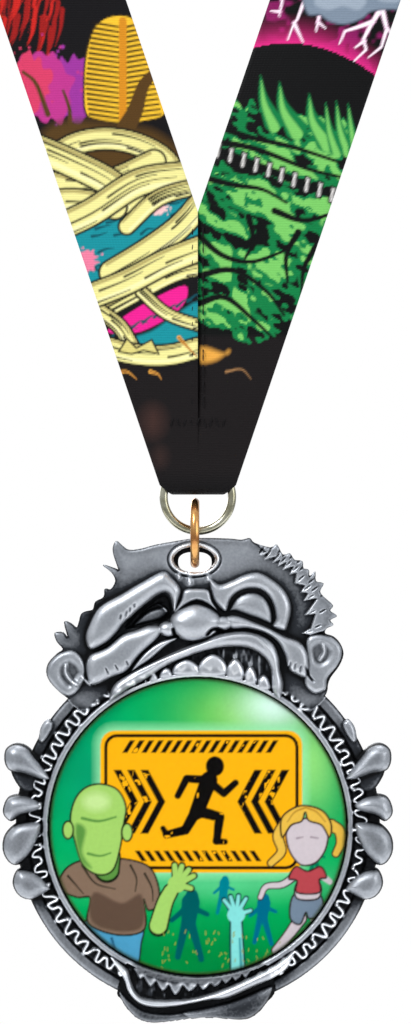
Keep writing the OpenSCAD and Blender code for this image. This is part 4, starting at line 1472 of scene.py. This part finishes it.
def blot(art, x, z, radius, colour, seed, squash=1.0):
    """A splash with a ragged edge and drops thrown off it."""
    draw = np.random.default_rng(seed)
    turn = np.linspace(0, 2 * math.pi, 30, endpoint=False)
    reach = radius * draw.uniform(0.78, 1.2, 30)
    art.shape(np.stack([x + reach * np.cos(turn), z + squash * reach * np.sin(turn)], 1), colour)
    for _ in range(10):
        a, far = draw.uniform(0, 2 * math.pi), radius * draw.uniform(1.15, 1.5)
        size = radius * draw.uniform(0.03, 0.09)
        art.oval(x + far * math.cos(a), z + squash * far * math.sin(a), size, size, colour)


def paint_arch(art):
    """A gold arch with plain stripes either side of a bar."""
    gold, deep, ink = rgb(236, 186, 46), rgb(206, 134, 28), rgb(26, 18, 12)
    arch = [(19.0, 15.6), (19.3, 20.0), (19.0, 25.0), (17.8, 29.6), (15.8, 31.6), (12.8, 32.2), (10.2, 31.2),
            (8.4, 28.8), (7.4, 24.0), (6.4, 19.0), (5.6, 15.4), (9.0, 14.2), (13.0, 13.8), (17.0, 14.4)]
    art.shape(arch, gold, line=ink)
    for k in range(19):
        z = 15.4 + 0.86 * k
        art.stroke([(18.9 - 0.1 * abs(k - 6), z), (12.9, z - 0.8)], ink, 0.42, 0.3, curved=False)
        art.stroke([(12.5, z - 0.8), (6.3 + 0.16 * k, z)], ink, 0.42, 0.3, curved=False)
    art.stroke([(12.7, 14.6), (12.7, 31.2)], deep, 1.3, 1.3, curved=False)
    brown = rgb(82, 56, 22)
    art.stroke([(5.6, 24.0), (9.0, 20.6), (10.6, 16.0), (12.4, 12.6)], brown, 1.2, 3.2)


def paint_left(art):
    """Left strap: flames, splash, striped arch and wrapped linen. x runs outwards from the middle."""
    every = np.arange(len(art.x))
    art.lay(every, (art.z + 27.5) / 1.2, BLACK)
    draw = np.random.default_rng(3)
    reds = (rgb(196, 34, 28), rgb(150, 24, 22), rgb(226, 70, 36), rgb(242, 166, 104))
    for _ in range(110):
        x, z = draw.uniform(23.0, 38.0), draw.uniform(29.0, 46.0)
        z += 0.35 * (x - 28)
        length = draw.uniform(3.0, 7.0)
        tint = reds[draw.integers(0, 2) if x < 32 else draw.integers(0, 4)]
        art.stroke([(x, z), (x + 0.2, z - length / 2), (x + 1.1, z - length)], tint, 0.95, 0.05)
        art.stroke([(x + 0.45, z), (x + 0.8, z - length / 2), (x + 1.5, z - length)], BLACK, 0.4, 0.05)
    blot(art, 21.6, 19.6, 4.4, rgb(148, 48, 146), 4, 1.2)
    blot(art, 26.0, 20.0, 4.8, rgb(182, 50, 132), 8, 1.35)
    blot(art, 28.0, 21.0, 3.0, rgb(206, 58, 96), 9, 1.5)
    brown = rgb(80, 56, 22)
    art.stroke([(29.6, 22.6), (27.4, 20.6), (25.4, 15.4)], brown, 0.5, 0.9)
    art.stroke([(22.8, 19.4), (21.8, 16.6), (21.6, 14.0)], brown, 0.4, 0.8)
    paint_arch(art)
    art.shape([(27.0, 9.0), (25.4, 13.2), (20.0, 14.4), (12.0, 13.4), (7.0, 12.4), (2.0, 8.0), (4.0, 4.0),
               (20.0, 6.0)],
              brown, soft=0.9)
    paint_linen(art)
    art.oval(7.6, -36.6, 1.7, 2.4, rgb(58, 38, 34), soft=1.6)
    art.oval(6.4, -42.6, 1.0, 1.5, rgb(48, 33, 30), soft=1.2)
    for crack in ([(13.6, -28.4), (12.0, -28.2), (10.4, -29.4)], [(3.2, -22.4), (1.4, -24.4), (0.2, -25.6)],
                  [(8.0, -28.2), (6.8, -28.6), (6.2, -29.4)]):
        art.stroke(crack, rgb(222, 158, 62), 0.7, 0.1)
        art.stroke(crack, rgb(140, 84, 40), 0.25, 0.1)


def paint_linen(art):
    """Linen strips with teal cloth, torn edges and splashes between them."""
    teal, deep_teal = rgb(18, 136, 146), rgb(6, 72, 84)
    art.shape([(22.6, -1.0), (12.0, 4.0), (-1.0, 4.0), (-1.0, -25.0), (16.0, -25.6), (21.0, -12.0)], BLACK,
              soft=0.3)
    art.shape([(21.5, -3.0), (13.0, -1.0), (-0.5, 2.0), (-0.5, -9.0), (12.0, -13.0), (18.5, -14.0)], teal,
              soft=0.25)
    draw = np.random.default_rng(14)
    for _ in range(26):
        x, z = draw.uniform(0.5, 20), draw.uniform(-13, 1)
        art.stroke([(x, z), (x - 1.2, z + draw.uniform(-0.3, 0.9)), (x - 2.6, z + 0.7)], deep_teal, 0.5, 0.1)
    blot(art, 19.6, -9.6, 2.6, rgb(226, 120, 150), 15, 0.7)
    blot(art, 6.6, -0.6, 1.5, rgb(238, 190, 190), 17, 0.7)
    art.shape([(15.6, -21.4), (10.0, -17.0), (2.2, -13.4), (2.6, -17.4), (9.6, -21.6)], rgb(226, 28, 138),
              line=BLACK, width=0.4)
    art.shape([(14.6, -23.6), (8.0, -21.4), (3.0, -18.0), (-0.4, -16.6), (-0.4, -22.6), (6.0, -24.4)], teal,
              soft=0.3)
    for k in range(9):
        x, z = 15.0 - 1.9 * k, -22.6 + 0.9 * k
        art.stroke([(x, z), (x - 1.6, z + 1.2), (x - 2.8, z + 0.8)], deep_teal, 0.5, 0.1)
    bandage(art, [(18.4, -19.6), (11.0, -15.6), (4.0, -12.0), (-0.8, -10.8)], 1.8, 11)
    bandage(art, [(16.6, -18.0), (13.2, -20.6), (10.8, -24.6)], 2.2, 12)
    bandage(art, [(9.6, -14.6), (5.2, -18.4), (-0.8, -20.6)], 1.7, 13)
    bandage(art, [(26.6, 7.0), (20.0, 10.6), (13.0, 11.0), (6.4, 8.4), (2.6, 3.6)], 3.4, 1)
    bandage(art, [(28.0, 4.6), (21.0, 3.0), (14.0, 4.4), (7.4, 7.4)], 3.6, 2)
    bandage(art, [(28.0, 10.0), (22.0, 7.4), (15.6, 4.2), (11.0, 0.6)], 4.3, 3)
    bandage(art, [(27.0, 0.2), (21.0, 0.8), (14.0, -0.4)], 3.6, 4)
    bandage(art, [(25.0, -4.4), (18.0, -1.2), (10.0, 3.8), (2.0, 5.2)], 4.2, 5)
    bandage(art, [(12.0, -3.6), (6.6, 1.2), (-0.5, 3.4)], 2.4, 6)
    bandage(art, [(14.6, -11.4), (8.4, -7.6), (3.0, -3.6), (-0.8, 0.6)], 3.8, 7)
    bandage(art, [(19.6, -16.0), (12.0, -13.0), (5.4, -9.6), (-0.8, -7.2)], 3.9, 8)
    bandage(art, [(17.0, -23.6), (11.0, -25.2), (5.0, -25.4), (-0.8, -24.0)], 3.2, 9)
    art.shape([(13.4, -24.8), (12.0, -22.6), (10.4, -24.2), (7.8, -22.8), (6.6, -25.2), (9.2, -24.6),
               (11.2, -25.2)],
              rgb(214, 202, 120), line=BLACK, curved=False)


def bolt(art, path, width):
    """A jagged streak of lightning."""
    art.stroke(path, rgb(240, 190, 220), width + 0.35, 0.2, curved=False)
    art.stroke(path, rgb(252, 248, 250), width, 0.12, curved=False)


def paint_storm(art):
    """Torn clouds and lightning on magenta dusk, over a black dome."""
    x, z = art.x, art.z
    rim = 27.4 - 0.024 * (x - 15.0) ** 2
    sky = np.flatnonzero((z > rim - 0.5) & (z < 60))
    dusk = noise(x[sky], z[sky], 3.2, 41) * 0.6 + noise(x[sky], z[sky], 1.1, 42) * 0.4
    near = np.exp(-np.clip(z[sky] - rim[sky], 0, 99) / 2.6)
    art.lay(sky, (dusk - 0.5) * 7 + 1.8 * near, rgb(126, 20, 86))
    art.lay(sky, near * 1.1 - 0.15, rgb(222, 40, 128))
    for path, width in (
        ([(18.0, 38.0), (18.1, 34.7), (16.9, 31.6), (16.1, 30.3), (15.2, 28.0)], 0.5),
        ([(16.3, 30.8), (17.8, 27.6)], 0.35), ([(13.2, 38.0), (14.3, 34.7), (13.8, 32.0)], 0.4),
        ([(13.9, 32.8), (12.4, 32.9)], 0.25), ([(20.5, 31.8), (20.0, 29.4)], 0.3),
        ([(20.3, 31.0), (21.6, 29.9)], 0.22),
        ([(32.4, 36.0), (31.1, 33.4), (29.4, 30.7), (28.0, 28.0), (28.5, 26.3), (26.3, 24.2)], 0.75),
        ([(29.6, 31.0), (26.8, 30.0), (24.9, 29.4), (24.0, 27.3)], 0.5), ([(28.2, 27.8), (26.6, 26.6)], 0.3),
        ([(31.2, 33.2), (32.0, 29.8), (31.1, 26.8), (28.9, 25.0)], 0.55), ([(32.0, 30.0), (33.4, 28.6)], 0.3)
    ):
        bolt(art, path, width)
    cloud, pale = rgb(120, 134, 150), rgb(150, 162, 176)
    art.shape([(17.8, 36.0), (18.6, 32.4), (20.6, 32.2), (22.4, 31.0), (25.0, 30.6), (27.8, 31.6),
               (29.4, 32.8),
               (33.0, 33.2), (37.0, 33.0), (39.0, 40.0), (30.0, 43.0), (20.0, 40.0)], cloud,
               line=rgb(84, 94, 110))
    art.shape([(19.8, 34.0), (22.0, 33.0), (24.6, 33.6), (27.2, 33.0), (28.4, 34.8), (24.0, 36.0),
               (20.6, 36.0)],
              pale, soft=0.3)
    art.shape([(30.4, 35.0), (33.6, 34.4), (36.4, 36.0), (34.0, 38.4)], pale, soft=0.3)
    dome = np.flatnonzero((z < rim) & (z > 5))
    art.colour[dome] = rgb(8, 8, 9)


def paint_right(art):
    """Right strap: storm, black dome, green brush strokes and a row of white stitches."""
    dark, mid, light = rgb(4, 7, 6), rgb(8, 118, 62), rgb(116, 192, 96)
    art.lay(np.arange(len(art.x)), (art.z + 22.5) / 0.8, dark)
    paint_storm(art)
    body = np.flatnonzero((art.z < 19.5) & (art.z > -25.5))
    x, z = art.x[body], art.z[body]
    slant = z + 0.38 * x
    streak = 0.62 * noise(x * 0.75, slant * 1.5, 2.7, 51) + 0.38 * noise(x, slant * 1.3, 1.05, 52)
    edge = smooth_step((18.2 - 0.22 * x + 3.0 * noise(x, z * 0, 1.3, 53) - z) / 1.2)
    low = smooth_step((z + 24.6 - 0.05 * (x - 9) ** 2) / 2.0)
    cover = edge * low
    art.lay(body, (streak * cover - 0.37) * 26, mid)
    art.lay(body, (streak * cover - 0.55) * 26, light)
    for tip_x, tip_z, width, lean in ((10.6, 22.0, 1.7, 1.6), (13.8, 20.9, 2.0, 2.2), (18.8, 18.9, 2.1, 2.4),
                                      (23.4, 17.6, 1.3, 1.2), (25.4, 17.2, 1.2, 0.6), (21.6, 17.4, 1.2, 1.2)):
        root = [(tip_x + lean + 0.6, tip_z - 8.0), (tip_x + 0.5, tip_z - 4.0), (tip_x, tip_z)]
        art.stroke(root, mid, width * 1.9, 0.1)
        art.stroke([(px + 0.15, pz - 0.9) for px, pz in root], light, width, 0.1)
    for line in ([(2.4, 13.6), (9.0, 11.4), (16.0, 9.8), (26.0, 6.6)],
                 [(3.0, 10.8), (10.0, 9.4), (19.0, 6.0), (26.0, 4.4)],
                 [(0.4, 4.8), (6.0, 3.4), (11.0, 2.6), (15.0, 0.4)],
                 [(13.0, -1.0), (18.0, -2.6), (24.0, -1.0)],
                 [(-0.4, -4.6), (4.0, -8.4), (9.0, -9.6), (14.6, -7.8)],
                 [(-0.2, -12.0), (6.0, -11.0), (11.6, -14.6), (14.6, -18.6)],
                 [(0.2, -16.6), (4.6, -15.6), (9.4, -19.4), (12.6, -22.4)],
                 [(8.6, -2.0), (9.4, -6.0), (8.0, -9.0)],
                 [(17.0, -4.6), (15.0, -8.4), (15.2, -13.0)], [(20.6, -6.0), (18.0, -10.6), (17.6, -15.0)]):
        art.stroke(line, dark, 1.15, 0.45)
    art.stroke([(1.8, 9.9), (10.0, 6.6), (24.5, 1.0)], dark, 1.5, 1.3, curved=False)
    for k in range(10):
        x, z = 3.0 + 2.15 * k, 9.2 - 0.83 * k
        bar = [(x + 0.25, z + 1.45), (x + 1.0, z + 1.2), (x + 0.55, z - 1.4), (x - 0.2, z - 1.15)]
        art.shape(bar, rgb(226, 222, 218), line=dark, width=0.35, curved=False)
        art.stroke([(x + 0.75, z + 1.0), (x + 0.4, z - 1.1)], rgb(160, 156, 154), 0.28, 0.2, curved=False)
    art.shape([(0.6, -24.0), (4.6, -25.2), (5.2, -24.6), (3.2, -26.2), (0.4, -26.6)], rgb(224, 160, 66),
              soft=0.5)
    art.stroke([(4.8, -28.2), (7.4, -27.8), (9.0, -29.4)], rgb(150, 110, 70), 0.45, 0.1)


# ---------------------------------------------------------------- stitches
def stitch_tube(centre, direction, length, radius):
    """A two-ply thread stitch that rises from the cloth and dives back into it."""
    verts, faces = [], []
    steps, sides = 14, 8
    turn = np.linspace(0, 2 * math.pi, sides, endpoint=False)
    up = np.array([0, -1.0, 0])
    across = np.cross(direction, up)
    for ply in (0, math.pi):
        rings = []
        for k in range(steps + 1):
            t = k / steps
            arch = radius * (2.4 * math.sin(math.pi * t) - 1.2)
            twist = ply + 5 * t
            centre_line = centre + direction * length * (t - 0.5) + up * arch
            centre_line = centre_line + 0.5 * radius * (math.cos(twist) * up + math.sin(twist) * across)
            ring = centre_line + 0.6 * radius * (np.outer(np.cos(turn), up) + np.outer(np.sin(turn), across))
            rings.append(list(range(len(verts), len(verts) + sides)))
            verts.extend(ring.tolist())
        for a, b in zip(rings, rings[1:]):
            faces.extend([a[k], a[(k + 1) % sides], b[(k + 1) % sides], b[k]] for k in range(sides))
        faces.append(rings[0][::-1])
        faces.append(rings[-1])
    return verts, faces


def build_stitches(name, node, places, tilts, length, look):
    """All the stitches of one seam, as one piece."""
    verts, faces = [], []
    for place, tilt in zip(places, tilts):
        direction = np.array([math.sin(tilt), 0, math.cos(tilt)])
        v, f = stitch_tube(np.array(place), direction, length, 0.11)
        faces.extend([i + len(verts) for i in face] for face in f)
        verts.extend(v)
    piece = add_object(name, verts, faces, "straps", look)
    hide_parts(node)
    return piece


def build_seams():
    look = thread_look()
    surface = STRAP_Y - RIBBON_T / 2
    low, high = box_mm("mitre_stitches")
    length, rows = 1.9, 12
    z_rows = np.linspace(high[2] - length / 2, low[2] + length / 2, rows)
    places = [(side * (high[0] - 0.16), surface - 0.1, z) for z in z_rows for side in (-1, 1)]
    seam = build_stitches("mitre_seam", "mitre_stitches", places, [0] * len(places), length, look)
    low, high = box_mm("bar_tack_stitches")
    count = 9
    xs = np.linspace(-4.4, 4.4, count)
    places = [(x, surface - 0.05, (low[2] + high[2]) / 2) for x in xs]
    tilts = [math.radians(18 if k % 2 == 0 else -18) for k in range(count)]
    tack = build_stitches("bar_tack", "bar_tack_stitches", places, tilts, 1.7, look)
    return [seam, tack]


# ---------------------------------------------------------------- stage
def build_stage():
    scene = bpy.context.scene
    scene.view_settings.view_transform = "Standard"
    world = scene.world or bpy.data.worlds.new("studio")
    scene.world = world
    world.use_nodes = True
    tree = world.node_tree
    tree.nodes.clear()
    output = tree.nodes.new("ShaderNodeOutputWorld")
    seen = tree.nodes.new("ShaderNodeBackground")
    seen.inputs["Color"].default_value = (1, 1, 1, 1)
    light = tree.nodes.new("ShaderNodeBackground")
    light.inputs["Color"].default_value = (0.93, 0.96, 1.0, 1)
    toward = tree.nodes.new("ShaderNodeTexCoord")
    height = tree.nodes.new("ShaderNodeSeparateXYZ")
    strength = tree.nodes.new("ShaderNodeMapRange")
    for socket, value in (("From Min", -0.8), ("From Max", 0.8), ("To Min", 0.26), ("To Max", 0.95)):
        strength.inputs[socket].default_value = value
    tree.links.new(toward.outputs["Generated"], height.inputs[0])
    tree.links.new(height.outputs["Z"], strength.inputs["Value"])
    tree.links.new(strength.outputs["Result"], light.inputs["Strength"])
    path = tree.nodes.new("ShaderNodeLightPath")
    pick = tree.nodes.new("ShaderNodeMixShader")
    tree.links.new(path.outputs["Is Camera Ray"], pick.inputs[0])
    tree.links.new(light.outputs[0], pick.inputs[1])
    tree.links.new(seen.outputs[0], pick.inputs[2])
    tree.links.new(pick.outputs[0], output.inputs["Surface"])
    floor_z = cad_box[0].z - 0.1
    mesh = bpy.data.meshes.new("floor")
    reach, turns = 0.48, 96
    rim = [2 * math.pi * k / turns for k in range(turns)]
    mesh.from_pydata([(reach * math.cos(a), reach * math.sin(a), floor_z) for a in rim], [], [range(turns)])
    floor = bpy.data.objects.new("floor", mesh)
    scene.collection.objects.link(floor)
    pale = Look("pale_floor", Base_Color=(0.93, 0.93, 0.93, 1), Roughness=0.8)
    mesh.materials.append(pale.mat)
    focus = Vector((0, RING_PLANE * MM, -0.2177))
    for name, offset, size, power in (("key", (-0.5, -0.6, 0.75), 0.4, 7),
                                      ("fill", (0.8, -0.5, 0.2), 0.6, 2.5),
                                      ("top", (0.1, 0.25, 0.8), 0.5, 3), ("back", (-0.3, 0.9, 0.3), 0.6, 5)):
        lamp = bpy.data.lights.new(name, "AREA")
        lamp.size = size
        lamp.energy = power
        holder = bpy.data.objects.new(name, lamp)
        holder.location = focus + Vector(offset)
        holder.rotation_euler = (focus - holder.location).to_track_quat("-Z", "Y").to_euler()
        scene.collection.objects.link(holder)


def build_camera():
    """A long lens straight in front, framed on the V, the rings and the medal."""
    view_h = 173.4
    lens, sensor = 120.0, 36.0
    distance = view_h * lens / sensor
    face_y = RING_PLANE - PLATE
    camera = bpy.data.cameras.new("camera")
    camera.lens = lens
    camera.sensor_width = sensor
    camera.clip_start = 0.01
    holder = bpy.data.objects.new("camera", camera)
    holder.location = Vector((1.3, face_y - distance, MEDAL_Z + 53.3)) * MM
    holder.rotation_euler = (math.pi / 2, 0, 0)
    bpy.context.scene.collection.objects.link(holder)
    bpy.context.scene.camera = holder


def main():
    build_camera()
    build_stage()
    build_casting()
    build_insert()
    build_dome()
    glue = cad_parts["insert_adhesive"]
    glue.data.materials.clear()
    glue.data.materials.append(glue_look())
    build_ring("ring", "ribbon_ring", "ribbon_ring",
               wire_look("nickel_wire", rgb(200, 198, 178), rgb(136, 132, 104), 0.2), 1, math.radians(75))
    build_ring("link_ring", "jump_ring", "jump_ring",
               wire_look("copper_wire", rgb(226, 180, 112), rgb(186, 122, 70), 0.22), 0, math.radians(68))
    ribbon, length = build_ribbon()
    seams = build_seams()


main()
